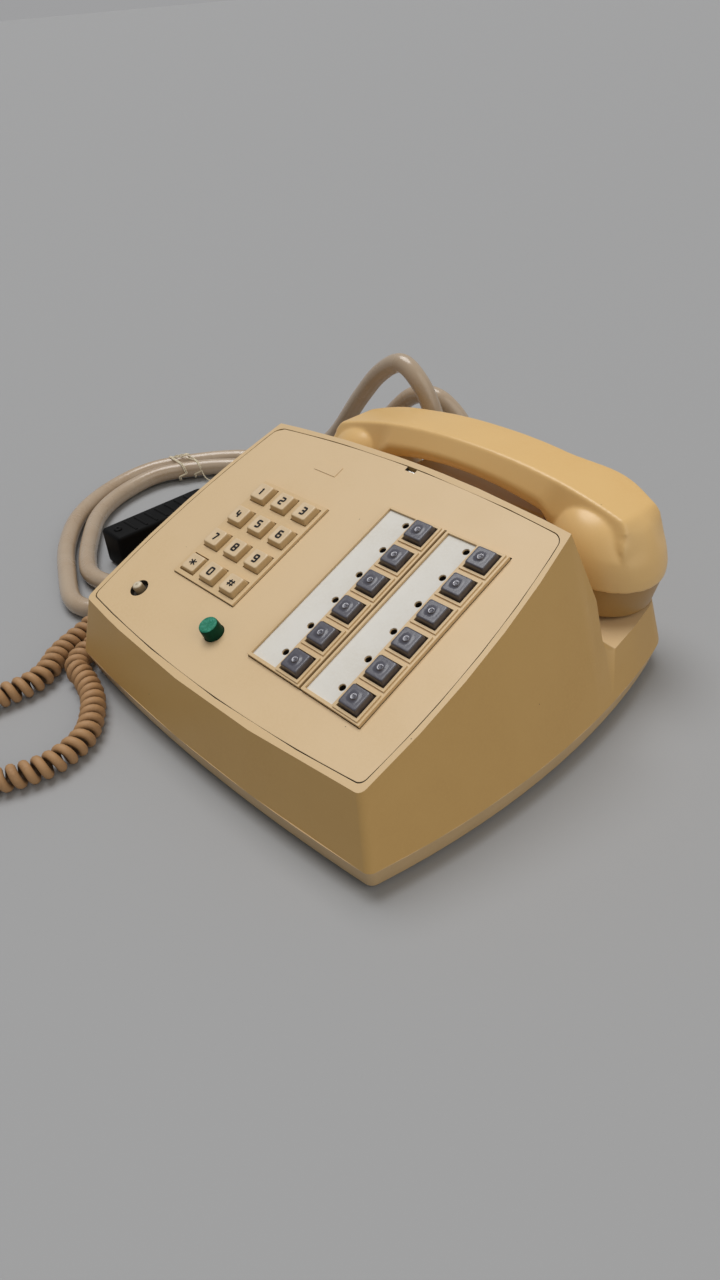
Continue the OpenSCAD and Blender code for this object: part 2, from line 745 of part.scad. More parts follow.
module hook_bar() {
    long = 2 * (plunger_x + plunger_r);
    color("#b9b6ad") translate([-long / 2, cup_y - 5, bar_z]) cube([long, 10, bar_h]);
}

module hook_switch() {
    color("#34322f") translate([-hook_switch_size.x / 2, cup_y - hook_switch_size.y / 2, tray_floor])
        cube([hook_switch_size.x, hook_switch_size.y, bar_z - rest_gap - tray_floor]);
}

module main_board() {
    post_r = 3;
    color("#6b5a34") translate([board_spot.x, board_spot.y, tray_floor]) {
        translate([-board_size.x / 2, -board_size.y / 2, board_size.z])
            cube([board_size.x, board_size.y, 1.6]);
        for (a = [-1, 1], b = [-1, 1])
            translate([a * (board_size.x / 2 - 2 * post_r), b * (board_size.y / 2 - 2 * post_r), 0])
                cylinder(r = post_r, h = board_size.z);
    }
}

module ringer() {
    color("#8d8a80") translate([ringer_spot.x, ringer_spot.y, tray_floor]) {
        cylinder(r = ringer_r, h = ringer_h);
        translate([0, 0, ringer_h]) cylinder(r = 4, h = 2);
    }
}

// ---------------------------------------------------------------- handset

// Height of the handle's top edge at a distance a from its middle
function top_edge(a) = a < shoulder_x
    ? handle_z - shoulder_drop * pow(a / shoulder_x, 2.2)
    : handle_z - shoulder_drop - 22 * (a - shoulder_x) / (handset_length / 2 - shoulder_x);

// Height of the handle's underside at a distance a from its middle
function under_edge(a) = a < 50 ? handle_z - handle_t - 6 * pow(a / 50, 2)
    : max(cup_z + 9.3, handle_z - handle_t - 6 - (a - 50));

function half_width(a) = handle_width / 2 * (a < 60 ? 1 : 1 - 0.42 * pow((a - 60) / 51, 2));

// One section of the handle: a flat top, flaring cheeks and a rounded belly
function handle_section(x) = let (
        a = abs(x), w = half_width(a), t = top_edge(a), b = min(under_edge(a), t - 3),
        h = t - b, flat = 0.67 * w, cheek = t - 0.6 * h)
    [[flat, t], [w - 1.2, cheek + 2], [w, cheek], [w - 0.8, cheek - 2.4], [0.72 * w, b + 0.8],
        [0.5 * w, b], [-0.5 * w, b], [-0.72 * w, b + 0.8], [-w + 0.8, cheek - 2.4],
        [-w, cheek], [-w + 1.2, cheek + 2], [-flat, t]];

module handle() {
    half = handset_length / 2 - end_sink;
    xs = [-half, -97, -shoulder_x, -84, -74, -64, -57, -50, -42, -32, -20, -8,
        8, 20, 32, 42, 50, 57, 64, 74, 84, shoulder_x, 97, half];
    n = len(handle_section(0));
    points = [for (x = xs) each [for (q = handle_section(x)) [x, handle_y + q[0], q[1]]]];
    last = (len(xs) - 1) * n;
    walls = [for (i = [0:len(xs) - 2]) for (k = [0:n - 1]) let (
            a = i * n + k, b = i * n + (k + 1) % n)
        each [[a, a + n, b], [b, a + n, b + n]]];
    ends = [for (k = [1:n - 2]) each [[0, k, k + 1], [last, last + k + 1, last + k]]];
    polyhedron(points, [for (f = concat(walls, ends)) [f[2], f[1], f[0]]]);
}

// Profile of a cup's dome, from its seam to its crown
function dome_profile() = concat([[0, 0]],
    [for (t = [0:10:90]) [cup_r * pow(cos(t), 0.85), dome_h * sin(t)]]);

module handset_shell() {
    color("#d9be8c") difference() {
        union() {
            handle();
            for (side = [-1, 1]) at_cup(side) rotate_extrude() polygon(dome_profile());
        }
        for (side = [-1, 1]) at_cup(side) {
            translate([0, 0, -over]) cylinder(r = cup_r - cap_wall, h = 7 + over);
            cylinder(r = 20, h = 17);
        }
        at_cup(-1) translate([-relief_tip, 0, relief_z]) rotate([0, 90, 0])
            cylinder(r = relief_r + fit_gap, h = relief_tip - cup_r + 9, $fn = 40);
    }
}

// A screwed cap with its sound holes; rings lists holes and radius of each ring
module cup_cap(side, rings) {
    outer = [[0, -cap_h + 0.8], [cap_foot_r - 8, -cap_h], [cap_foot_r - 1.6, -cap_h],
        [cap_foot_r, -cap_h + 1.4], [cup_r - cap_step - 0.4, -6], [cup_r - cap_step, -1.6],
        [cup_r - cap_step, 0],
        [cup_r - cap_wall, 0], [cup_r - cap_wall, -cap_h + 6],
        [cap_foot_r - cap_wall - 2, -cap_h + 3.2], [0, -cap_h + 3.2]];
    at_cup(side) difference() {
        rotate_extrude($fn = 72) polygon(outer);
        for (ring = rings) for (i = [0:ring[0] - 1]) rotate(360 * i / ring[0])
            translate([ring[1], 0, -cap_h - over]) cylinder(r = 1.2, h = 6, $fn = 24);
    }
}

module ear_cap() { color("#c6a574") cup_cap(1, [[1, 0], [6, 6]]); }
module mouth_cap() { color("#c6a574") cup_cap(-1, [[1, 0], [6, 5], [12, 10]]); }

module capsule(side, r) {
    color("#8f8f8c") at_cup(side) {
        translate([0, 0, -5]) cylinder(r = r, h = 12 - fit_gap);
        translate([0, 0, -7]) cylinder(r = r - 4, h = 2);
    }
}

module receiver_capsule() { capsule(1, cup_r - cap_wall - 0.5); }
module transmitter_capsule() { capsule(-1, cup_r - cap_wall - 0.5); }

module handset_cord_relief() {
    color("#b99a6c") at_cup(-1) translate([-relief_tip, 0, relief_z]) rotate([0, 90, 0])
        cylinder(r1 = curl_wire / 2 + 0.9, r2 = relief_r, h = relief_tip - cup_r + cap_wall);
}

// ---------------------------------------------------------------- cords

module case_cord_relief() {
    color("#b99a6c") translate([cord_gland_tip, cord_gland_y, cord_gland_z]) rotate([0, 90, 0]) {
        cylinder(r1 = curl_wire / 2 + 0.9, r2 = 5.2, h = 11);
        translate([0, 0, 11]) cylinder(r = 5.2, h = 8);
    }
}

// The handset cord: straight tails and one unbroken helix about its axis
module curly_cord() {
    per_curl = 8;
    tail = 3 * curl_wire;
    axis = smooth(cord_axis, 8);
    whole = running_length(axis)[len(axis) - 1];
    coiled = whole - 2 * tail;
    steps = curl_count * per_curl;
    turn_r = (curl_od - curl_wire) / 2;
    fine = at_lengths(axis, concat([0, curl_wire],
        [for (i = [0:steps]) tail + coiled * i / steps], [whole - curl_wire, whole]));
    t = headings(fine);
    u = sides(t, [0, 1, 0]);
    last = len(fine) - 1;
    wire = [for (i = [0:last]) let (
            k = i - 2,
            r = turn_r * max(0, min(1, k / per_curl, (steps - k) / per_curl)),
            a = 360 * k / per_curl)
        fine[i] + r * (cos(a) * u[i] + sin(a) * cross(t[i], u[i]))];
    echo(curly_cord_gap = least_gap(wire, 6) - curl_wire,
        curly_cord_wire = running_length(wire)[last], curly_cord_axis = whole);
    color("#8f7049") tube(wire, curl_wire, 6, [0, 1, 0]);
}

module cable_gland() {
    color("#a99a7c") translate([cable_gland_x, cable_gland_tip, cable_gland_z]) rotate([90, 0, 0]) {
        cylinder(r1 = cable_d / 2 + 0.8, r2 = 7.6, h = 13);
        translate([0, 0, 13]) cylinder(r = 7.6, h = 6);
    }
}

module line_cable() {
    fine = smooth(cable_route, 8);
    whole = running_length(fine)[len(fine) - 1];
    rings = 78;
    inner = [for (i = [1:rings - 4]) whole * i / (rings - 3)];
    p = at_lengths(fine, concat([0, 4], inner, [whole - 4, whole]));
    echo(line_cable_length = whole, line_cable_gap = least_gap(p, 4) - cable_d);
    color("#b5a588") tube(p, cable_d, 8);
}

// Thread wound round both strands of the cable, with its two loose ends
module cable_tie_string() {
    thread = 1.2;
    spacing = 13.4;
    slack = 0.6;
    color("#e6dcc0") translate([-267.5, 66, 7.5]) rotate([0, 0, 64]) {
        for (i = [-1:1]) translate([3 * i, 0, 0]) rotate([90, 0, 90]) difference() {
            linear_extrude(thread) hull() for (s = [-1, 1])
                translate([s * spacing / 2, 0]) circle(cable_d / 2 + slack + thread, $fn = 20);
            translate([0, 0, -over]) linear_extrude(thread + 2 * over) hull() for (s = [-1, 1])
                translate([s * spacing / 2, 0]) circle(cable_d / 2 + slack, $fn = 20);
        }
    }
}

// The connector hood at the far end, with its contact block
module line_connector() {
    color("#1d1d1f") {
        translate(hood_place) cube(hood);
        translate([hood_place.x + hood.x - 1, hood_entry.y, hood_entry.z]) rotate([0, 90, 0])
            cylinder(r = cable_d / 2 + 1.5, h = hood_entry.x - hood_place.x - hood.x + 1);
    }
}

housing();
base_tray();
rubber_feet();
case_screws();
face_panel();
latch_clip();
dial_bezel();
dial_key_1();
dial_key_2();
dial_key_3();
dial_key_4();
dial_key_5();
dial_key_6();
dial_key_7();
dial_key_8();
dial_key_9();
dial_key_star();
dial_key_0();
dial_key_hash();
dial_switch_board();
line_frame_left();
line_frame_right();
label_left();
label_right();
line_key_left_1();
line_key_left_2();
line_key_left_3();
line_key_left_4();
line_key_left_5();
line_key_left_6();
line_key_right_1();
line_key_right_2();
line_key_right_3();
line_key_right_4();
line_key_right_5();
line_key_right_6();
line_switch_board();
line_lamps();
green_button();
green_switch();
spare_stem();
spare_switch();
hook_plungers();
hook_bar();
hook_switch();
main_board();
ringer();
handset_shell();
ear_cap();
mouth_cap();
receiver_capsule();
transmitter_capsule();
handset_cord_relief();
case_cord_relief();
curly_cord();
cable_gland();
line_cable();
cable_tie_string();
line_connector();
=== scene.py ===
"""Looks of a multi-line push-button desk telephone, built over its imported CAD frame.

The scene is in metres, in the frame of the CAD part: X runs across the telephone, Y from its
front to its back and Z up from the table. The sizes of pieces that the classes below hold are in
millimetres, and MM turns them into metres.
"""

from __future__ import annotations

import json
import logging
import math
from collections.abc import Iterator
from contextlib import contextmanager
from dataclasses import dataclass, field
from enum import Enum
from functools import cached_property

import bmesh
import bpy
import numpy as np
from mathutils import Matrix, Vector, kdtree

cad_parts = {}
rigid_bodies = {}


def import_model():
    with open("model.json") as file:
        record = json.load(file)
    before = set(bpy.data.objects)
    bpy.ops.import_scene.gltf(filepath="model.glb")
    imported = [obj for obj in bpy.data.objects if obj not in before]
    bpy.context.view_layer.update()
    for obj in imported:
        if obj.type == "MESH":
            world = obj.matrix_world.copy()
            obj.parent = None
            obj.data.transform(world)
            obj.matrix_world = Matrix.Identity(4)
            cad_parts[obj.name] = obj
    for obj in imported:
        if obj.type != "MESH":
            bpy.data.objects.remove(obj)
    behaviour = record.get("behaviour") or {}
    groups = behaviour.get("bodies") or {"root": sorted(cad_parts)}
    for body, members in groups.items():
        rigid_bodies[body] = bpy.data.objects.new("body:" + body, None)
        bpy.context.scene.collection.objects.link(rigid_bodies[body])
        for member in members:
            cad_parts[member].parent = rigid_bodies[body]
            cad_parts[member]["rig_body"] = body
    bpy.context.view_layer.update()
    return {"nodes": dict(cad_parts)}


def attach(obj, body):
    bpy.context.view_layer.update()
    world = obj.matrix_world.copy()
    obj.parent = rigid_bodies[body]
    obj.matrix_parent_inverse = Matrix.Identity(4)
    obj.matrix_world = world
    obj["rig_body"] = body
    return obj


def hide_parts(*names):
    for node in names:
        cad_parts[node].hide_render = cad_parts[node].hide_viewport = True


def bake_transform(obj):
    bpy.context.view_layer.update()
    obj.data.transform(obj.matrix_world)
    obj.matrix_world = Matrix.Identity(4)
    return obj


LOG = logging.getLogger("telephone")
MM = 0.001
SEED = 7
# Degrees by which an edge turns: rounded above SHARP, merged away below FLAT, and left as a
# crease in the shading above CREASE.
SHARP, FLAT, CREASE = 30.0, 0.4, 31.0
# How much wide faces count in the shading of rounded edges, out of 100.
FACE_WEIGHT = 60
# Points in each ring of a key, a multiple of 4.
RING_POINTS = 32
# A face of a panel counts as a wall when its normal has less than this share upwards.
WALL = 0.7

Pair = tuple[float, float]
Triple = tuple[float, float, float]


# ---------------------------------------------------------------- shader building blocks


class Effect(Enum):
    """Tree node groups that several finishes share."""

    MOTTLE = "Mottle"
    SPECKS = "Specks"
    GRAIN = "Grain"
    SCRATCHES = "Scratches"


class Tree:
    """A node tree, with short ways to add and join nodes."""

    def __init__(self, tree: bpy.types.NodeTree) -> None:
        """Start on an empty tree.

        Args:
            tree: the node tree of a material, the world or a group.
        """
        self.tree = tree
        tree.nodes.clear()

    def add(self, kind: str, **values: object) -> bpy.types.Node:
        """Add one node.

        Args:
            kind: the node's type name.
            values: attributes, or what goes into an input of that name.

        Returns:
            The node.
        """
        node = self.tree.nodes.new(kind)
        for name, value in values.items():
            label = name.replace("_", " ")
            if label in node.inputs:
                self.link(value, node.inputs[label])
            else:
                setattr(node, name, value)
        return node

    def link(self, value: object, into: bpy.types.NodeSocket) -> None:
        """Give something to an input.

        Args:
            value: an output, a colour, a vector or a number.
            into: the input.
        """
        if isinstance(value, bpy.types.NodeSocket):
            self.tree.links.new(value, into)
        else:
            into.default_value = (*value, 1.0) if into.type == "RGBA" else value

    def surface(self, kind: str, shown: bpy.types.Node) -> None:
        """End the tree in an output node of a kind, which shows a shader node."""
        self.link(shown.outputs[0], self.add(kind).inputs["Surface"])

    def effect(self, effect: Effect, **values: object) -> bpy.types.NodeSocket:
        """Place a shared group, set its inputs and give its output."""
        return self.add("ShaderNodeGroup", node_tree=effect_group(effect), **values).outputs[0]

    def mix(self, low: object, high: object, factor: object) -> bpy.types.NodeSocket:
        """Mix two colours.

        Args:
            low: a colour or a socket, shown where factor is 0.
            high: a colour or a socket, shown where factor is 1.
            factor: a number or a socket.

        Returns:
            The mixed colour's socket.
        """
        node = self.add("ShaderNodeMix", data_type="RGBA")
        for index, value in ((6, low), (7, high), (0, factor)):
            self.link(value, node.inputs[index])
        return node.outputs[2]

    def ramp(self, value: bpy.types.NodeSocket, low: float, high: float) -> bpy.types.NodeSocket:
        """A smooth step from 0 to 1.

        Args:
            value: what steps.
            low: the value at which the step starts.
            high: the value at which it ends.

        Returns:
            The step's socket.
        """
        return self.add("ShaderNodeMapRange", interpolation_type="SMOOTHSTEP", Value=value,
                        From_Min=low, From_Max=high).outputs["Result"]

    def math(self, how: str, *numbers: object) -> bpy.types.NodeSocket:
        """One sum.

        Args:
            how: the operation's name.
            numbers: what goes in, each a number or a socket.

        Returns:
            The result's socket.
        """
        node = self.add("ShaderNodeMath", operation=how)
        for value, into in zip(numbers, node.inputs):
            self.link(value, into)
        return node.outputs[0]

    def noise(self, scale: float, detail: float) -> bpy.types.NodeSocket:
        """A noise of the object's own coordinates.

        Args:
            scale: cells per metre.
            detail: octaves.

        Returns:
            The noise's value socket.
        """
        place = self.add("ShaderNodeTexCoord").outputs["Object"]
        return self.add("ShaderNodeTexNoise", Scale=scale, Detail=detail,
                        Vector=place).outputs["Fac"]


def effect_group(effect: Effect) -> bpy.types.NodeTree:
    """Build a shared shader group once.

    Args:
        effect: which group.

    Returns:
        The group's node tree.
    """
    if effect.value in bpy.data.node_groups:
        return bpy.data.node_groups[effect.value]
    tree = bpy.data.node_groups.new(effect.value, "ShaderNodeTree")
    shader = Tree(tree)
    inputs = {Effect.MOTTLE: ("Base", "Stain", "Amount", "Scale"),
              Effect.SPECKS: ("Scale", "Size", "Share"),
              Effect.GRAIN: ("Scale", "Wave"),
              Effect.SCRATCHES: ("Scale", "Share")}
    for name in inputs[effect]:
        kind = "Color" if name in ("Base", "Stain") else "Float"
        tree.interface.new_socket(name, in_out="INPUT", socket_type=f"NodeSocket{kind}")
    name, kind = ("Color", "Color") if effect is Effect.MOTTLE else ("Mask", "Float")
    tree.interface.new_socket(name, in_out="OUTPUT", socket_type=f"NodeSocket{kind}")
    given = shader.add("NodeGroupInput").outputs
    place = shader.add("ShaderNodeTexCoord").outputs["Object"]
    if effect is Effect.MOTTLE:
        wide = shader.add("ShaderNodeTexNoise", Scale=given["Scale"], Detail=5.0,
                          Roughness=0.62, Vector=place).outputs["Fac"]
        both = shader.math("MULTIPLY", shader.ramp(wide, 0.38, 0.72),
                           shader.ramp(shader.noise(900.0, 3.0), 0.1, 0.75))
        share = shader.math("MULTIPLY", both, given["Amount"])
        result = shader.mix(given["Base"], given["Stain"], share)
    elif effect is Effect.SPECKS:
        cells = shader.add("ShaderNodeTexVoronoi", feature="F1", Randomness=1.0,
                           Scale=given["Scale"], Vector=place).outputs
        parts = shader.add("ShaderNodeSeparateColor", Color=cells["Color"]).outputs
        result = shader.math("MULTIPLY",
                             shader.math("LESS_THAN", cells["Distance"], given["Size"]),
                             shader.math("LESS_THAN", parts[0], given["Share"]))
    elif effect is Effect.GRAIN:
        fine = shader.add("ShaderNodeTexNoise", Scale=given["Scale"], Detail=2.0,
                          Roughness=0.4, Vector=place).outputs["Fac"]
        wave = shader.math("MULTIPLY", shader.noise(60.0, 2.0), given["Wave"])
        result = shader.math("ADD", fine, wave)
    else:
        streak = shader.add("ShaderNodeMapping", Scale=(1.0, 14.0, 5.0),
                            Rotation=(0.3, 0.5, 0.7), Vector=place).outputs[0]
        lines = shader.add("ShaderNodeTexNoise", Scale=given["Scale"], Detail=1.0,
                           Vector=streak).outputs["Fac"]
        off = shader.math("ABSOLUTE", shader.math("SUBTRACT", lines, 0.5))
        where = shader.math("GREATER_THAN", shader.noise(35.0, 2.0), given["Share"])
        result = shader.math("MULTIPLY", shader.math("LESS_THAN", off, 0.0035), where)
    shader.link(result, shader.add("NodeGroupOutput").inputs[0])
    return tree


@dataclass(frozen=True)
class Finish:
    """An opaque moulded or painted finish."""

    name: str
    color: Triple
    stain: Triple
    roughness: float = 0.4
    swing: float = 0.22
    mottle: float = 0.35
    mottle_scale: float = 18.0
    grain_scale: float = 1600.0
    grain: float = 0.05
    depth: float = 0.0004
    wave: float = 0.2
    specks: float = 0.0
    scratches: float = 0.0
    coat: float = 0.0
    metallic: float = 0.0
    specular: float = 0.5
    sheen: float = 0.0
    # Painted light: the colour that faces turned upwards are mixed towards, lighter than the sides.
    lit_top_color: Triple | None = None
    # Painted shade: a point attribute of this name mixes in the colour below.
    shade_attribute: str = ""
    shade_color: Triple = (0.1, 0.06, 0.03)

    def material(self) -> bpy.types.Material:
        """Build the material once, or find it.

        Returns:
            The Blender material.
        """
        full = f"{self.name}_finish"
        if full in bpy.data.materials:
            return bpy.data.materials[full]
        made = bpy.data.materials.new(full)
        made.use_nodes = True
        made.diffuse_color = (*self.color, 1.0)
        shader = Tree(made.node_tree)
        rough = shader.math("MULTIPLY_ADD", shader.noise(40.0, 4.0), self.swing,
                            self.roughness - self.swing / 2)
        grain = shader.effect(Effect.GRAIN, Scale=self.grain_scale, Wave=self.wave)
        bump = shader.add("ShaderNodeBump", Distance=self.depth, Strength=self.grain, Height=grain)
        body = shader.add("ShaderNodeBsdfPrincipled", Base_Color=self.shown(shader),
                          Roughness=rough, Normal=bump.outputs[0], Metallic=self.metallic,
                          Specular_IOR_Level=self.specular, Coat_Weight=self.coat,
                          Coat_Roughness=0.12, Sheen_Weight=self.sheen)
        shader.surface("ShaderNodeOutputMaterial", body)
        return made

    def shown(self, shader: Tree) -> bpy.types.NodeSocket:
        """The colour of the finish with its stains, specks and scratches, with painted light on
        faces turned up and painted shade where a point attribute asks for it.

        Args:
            shader: the material's tree.

        Returns:
            The colour's socket.
        """
        color = shader.effect(Effect.MOTTLE, Base=self.color, Stain=self.stain,
                              Amount=self.mottle, Scale=self.mottle_scale)
        # Painted light: faces that turn upwards are mixed towards a lighter colour.
        if self.lit_top_color:
            normal = shader.add("ShaderNodeNewGeometry").outputs["Normal"]
            rise = shader.add("ShaderNodeSeparateXYZ", Vector=normal).outputs[2]
            top = shader.math("MULTIPLY", shader.ramp(rise, 0.35, 0.9), 0.9)
            color = shader.mix(color, self.lit_top_color, top)
        if self.specks:
            mask = shader.effect(Effect.SPECKS, Scale=190.0, Size=0.055, Share=self.specks)
            dark = tuple(0.22 * c for c in self.color)
            color = shader.mix(color, dark, shader.math("MULTIPLY", mask, 0.75))
        if self.scratches:
            mask = shader.effect(Effect.SCRATCHES, Scale=9.0, Share=1.0 - self.scratches)
            pale = tuple(min(1.0, 1.18 * c + 0.03) for c in self.color)
            color = shader.mix(color, pale, shader.math("MULTIPLY", mask, 0.6))
        # Painted shade, mixed in by a point attribute.
        if self.shade_attribute:
            read = shader.add("ShaderNodeAttribute", attribute_name=self.shade_attribute)
            color = shader.mix(color, self.shade_color, read.outputs["Fac"])
        return color


# The case is browner on its sides and lighter on faces turned up; that difference is painted light.
CASE = Finish("case_plastic", (0.56, 0.35, 0.122), (0.47, 0.275, 0.085), roughness=0.44,
              specks=0.05, scratches=0.16, grain=0.06, specular=0.35,
              lit_top_color=(0.67, 0.49, 0.28))
PANEL = Finish("panel_plastic", (0.68, 0.50, 0.29), (0.60, 0.42, 0.21), roughness=0.46,
               specks=0.05, scratches=0.12, grain=0.05)
TRAY = Finish("tray_plastic", (0.60, 0.42, 0.22), (0.40, 0.27, 0.12), roughness=0.5,
              mottle=0.5, specks=0.06, scratches=0.25)
FRAME = Finish("frame_plastic", (0.66, 0.475, 0.26), (0.50, 0.34, 0.15), roughness=0.42,
               mottle=0.4, specks=0.03)
HANDSET = Finish("handset_plastic", (0.76, 0.50, 0.205), (0.68, 0.40, 0.13), roughness=0.34,
                 mottle=0.4, mottle_scale=12.0, specks=0.06, scratches=0.12, grain=0.03)
# The dial keys' lighter tops are painted light.
KEYS = Finish("key_plastic", (0.50, 0.34, 0.16), (0.40, 0.26, 0.11), roughness=0.38, mottle=0.3,
              lit_top_color=(0.68, 0.52, 0.33))
# The caps' colour is darkened by painted shade, the shade they sit in under the domes.
SHADED_CAPS = Finish("cap_plastic", (0.38, 0.22, 0.07), (0.28, 0.15, 0.045), roughness=0.36,
              mottle=0.4, scratches=0.1)
# The stem's lighter top is painted light.
STEM = Finish("stem_plastic", (0.26, 0.19, 0.11), (0.18, 0.12, 0.06), roughness=0.4,
              lit_top_color=(0.66, 0.58, 0.44))
# The smoky keys' lighter slate tops are painted light.
SMOKE = Finish("smoky_plastic", (0.072, 0.058, 0.058), (0.022, 0.013, 0.009), roughness=0.3,
               mottle=0.8, mottle_scale=260.0, coat=0.15, grain=0.1, grain_scale=700.0,
               lit_top_color=(0.072, 0.072, 0.096))
# A painted highlight on the lenses of the line keys.
GLINT = Finish("lens_glint", (0.42, 0.42, 0.47), (0.12, 0.12, 0.14), roughness=0.15,
               mottle=0.6, mottle_scale=900.0, coat=0.6)
GREEN = Finish("green_plastic", (0.0005, 0.042, 0.020), (0.001, 0.016, 0.008), roughness=0.6,
               specular=0.12, mottle=0.7, mottle_scale=300.0, grain=0.2, grain_scale=900.0)
# The green button's lighter top is painted light on the same plastic as its sides.
GREEN_LIT_TOP = Finish("green_plastic_lit_top", (0.004, 0.17, 0.095), (0.05, 0.33, 0.23), roughness=0.5,
                   specular=0.3, mottle=1.0, mottle_scale=620.0, grain=0.5, grain_scale=1400.0)
INK = Finish("print_ink", (0.006, 0.006, 0.007), (0.012, 0.012, 0.012), roughness=0.6,
             specular=0.2)
PAPER = Finish("label_paper", (0.72, 0.70, 0.655), (0.62, 0.58, 0.50), roughness=0.62,
               mottle=0.5, mottle_scale=30.0, grain_scale=2600.0, grain=0.04)
RUBBER = Finish("foot_rubber", (0.025, 0.024, 0.023), (0.06, 0.055, 0.05), roughness=0.75)
BLACK = Finish("black_plastic", (0.0018, 0.0018, 0.002), (0.004, 0.004, 0.0045),
               roughness=0.6, specular=0.1, grain=0.1, grain_scale=2200.0)
STEEL = Finish("screw_steel", (0.56, 0.55, 0.52), (0.32, 0.30, 0.27), roughness=0.36,
               metallic=1.0, mottle=0.4, mottle_scale=220.0)
CAN = Finish("capsule_metal", (0.50, 0.50, 0.48), (0.34, 0.33, 0.31), roughness=0.38,
             metallic=1.0, mottle=0.4, mottle_scale=90.0)
BOARD = Finish("board", (0.20, 0.125, 0.05), (0.13, 0.08, 0.03), roughness=0.55,
               mottle=0.5, mottle_scale=300.0)
# The lamps are near black partly as unlit lamps are and partly as painted shade in the holes they
# sit in.
LAMP = Finish("lamp", (0.030, 0.026, 0.022), (0.06, 0.045, 0.03), roughness=0.2, mottle=0.2)
# Painted shade for the walls of gaps and the inside of holes.
GAP_SHADE = Finish("painted_gap_shade", (0.020, 0.014, 0.009), (0.05, 0.035, 0.02), roughness=0.8)
# The cord is darkened inside its curls by painted shade.
CORD = Finish("cord_tan", (0.42, 0.24, 0.11), (0.28, 0.15, 0.065), roughness=0.62,
              mottle=0.75, mottle_scale=70.0, grain=0.12, grain_scale=1500.0,
              shade_attribute="crease", shade_color=(0.045, 0.024, 0.010))
CABLE = Finish("cable_sheath", (0.46, 0.36, 0.26), (0.36, 0.24, 0.14), roughness=0.26,
               mottle=0.7, mottle_scale=26.0, coat=0.35, specks=0.04, grain=0.03)
THREAD = Finish("string", (0.78, 0.70, 0.52), (0.60, 0.50, 0.33), roughness=0.85,
                sheen=0.4, grain=0.5, grain_scale=3000.0)


# ---------------------------------------------------------------- mesh building blocks


def link_object(name: str, data: bpy.types.ID) -> bpy.types.Object:
    """Link data to the scene as a new object at the origin.

    Args:
        name: the object's name.
        data: its mesh, curve, camera or light.

    Returns:
        The object.
    """
    made = bpy.data.objects.new(name, data)
    bpy.context.scene.collection.objects.link(made)
    return made


def dress(mesh: bpy.types.Mesh, *finishes: Finish) -> None:
    """Give a mesh finishes in place of those it has.

    Args:
        mesh: the mesh.
        finishes: its finishes, the main one first.
    """
    mesh.materials.clear()
    for finish in finishes:
        mesh.materials.append(finish.material())


def place_object(name: str, mesh: bpy.types.Mesh, *finishes: Finish) -> bpy.types.Object:
    """Link a mesh to the scene as an object at the origin.

    Args:
        name: the piece's name.
        mesh: its mesh, already in its place.
        finishes: its finishes, or none to keep the mesh's materials.

    Returns:
        The object.
    """
    if finishes:
        dress(mesh, *finishes)
    return link_object(name, mesh)


@contextmanager
def editing(mesh: bpy.types.Mesh) -> Iterator[bmesh.types.BMesh]:
    """Open a mesh for editing, and write the result back to it.

    Args:
        mesh: the mesh to change.

    Yields:
        What the mesh holds, ready to edit.
    """
    work = bmesh.new()
    work.from_mesh(mesh)
    yield work
    work.to_mesh(mesh)
    work.free()


def joined(name: str, meshes: list[bpy.types.Mesh]) -> bpy.types.Mesh:
    """Put several meshes into one, and remove them.

    Args:
        name: the new mesh's name.
        meshes: the meshes.

    Returns:
        The new mesh.
    """
    whole = bpy.data.meshes.new(name)
    with editing(whole) as work:
        for mesh in meshes:
            work.from_mesh(mesh)
            bpy.data.meshes.remove(mesh)
    return whole


def mesh_from(name: str, points: object, faces: object) -> bpy.types.Mesh:
    """A mesh from points and faces, with doubles merged and faces pointing out.

    Args:
        name: the mesh's name.
        points: an array or list of points.
        faces: lists of point numbers.

    Returns:
        The mesh.
    """
    mesh = bpy.data.meshes.new(name)
    mesh.from_pydata([tuple(float(c) for c in p) for p in points], [],
                     [tuple(int(i) for i in f) for f in faces])
    tidy_mesh(mesh, 1e-6)
    return mesh


def tidy_mesh(mesh: bpy.types.Mesh, merge: float) -> None:
    """Merge doubles and point every face outwards.

    Args:
        mesh: the mesh to change.
        merge: the distance within which points are one.
    """
    with editing(mesh) as work:
        bmesh.ops.remove_doubles(work, verts=work.verts, dist=merge)
        bmesh.ops.recalc_face_normals(work, faces=work.faces)
    mesh.update()


def smooth_by_angle(mesh: bpy.types.Mesh, degrees: float) -> None:
    """Shade a mesh smooth except across edges sharper than an angle."""
    mesh.polygons.foreach_set("use_smooth", [True] * len(mesh.polygons))
    mesh.set_sharp_from_angle(angle=math.radians(degrees))


def baked(source: bpy.types.Object, name: str) -> bpy.types.Object:
    """Turn an object with modifiers into a plain mesh object, and remove the first.

    Args:
        source: the object.
        name: the new piece's name.

    Returns:
        The plain object.
    """
    graph = bpy.context.evaluated_depsgraph_get()
    mesh = bpy.data.meshes.new_from_object(source.evaluated_get(graph), depsgraph=graph)
    mesh.name = name
    bpy.data.objects.remove(source, do_unlink=True)
    return place_object(name, mesh)


def ring_faces(rows: int, count: int, capped: bool = False) -> list[list[int]]:
    """Quads between rings of points.

    Args:
        rows: how many rings there are.
        count: how many points a ring has.
        capped: whether the first and the last ring are closed by a polygon each.

    Returns:
        The faces.
    """
    faces = []
    for i in range(rows - 1):
        for k in range(count):
            a = i * count + k
            b = i * count + (k + 1) % count
            faces.append([a, b, b + count, a + count])
    if capped:
        faces.append(list(range(count))[::-1])
        faces.append(list(range((rows - 1) * count, rows * count)))
    return faces


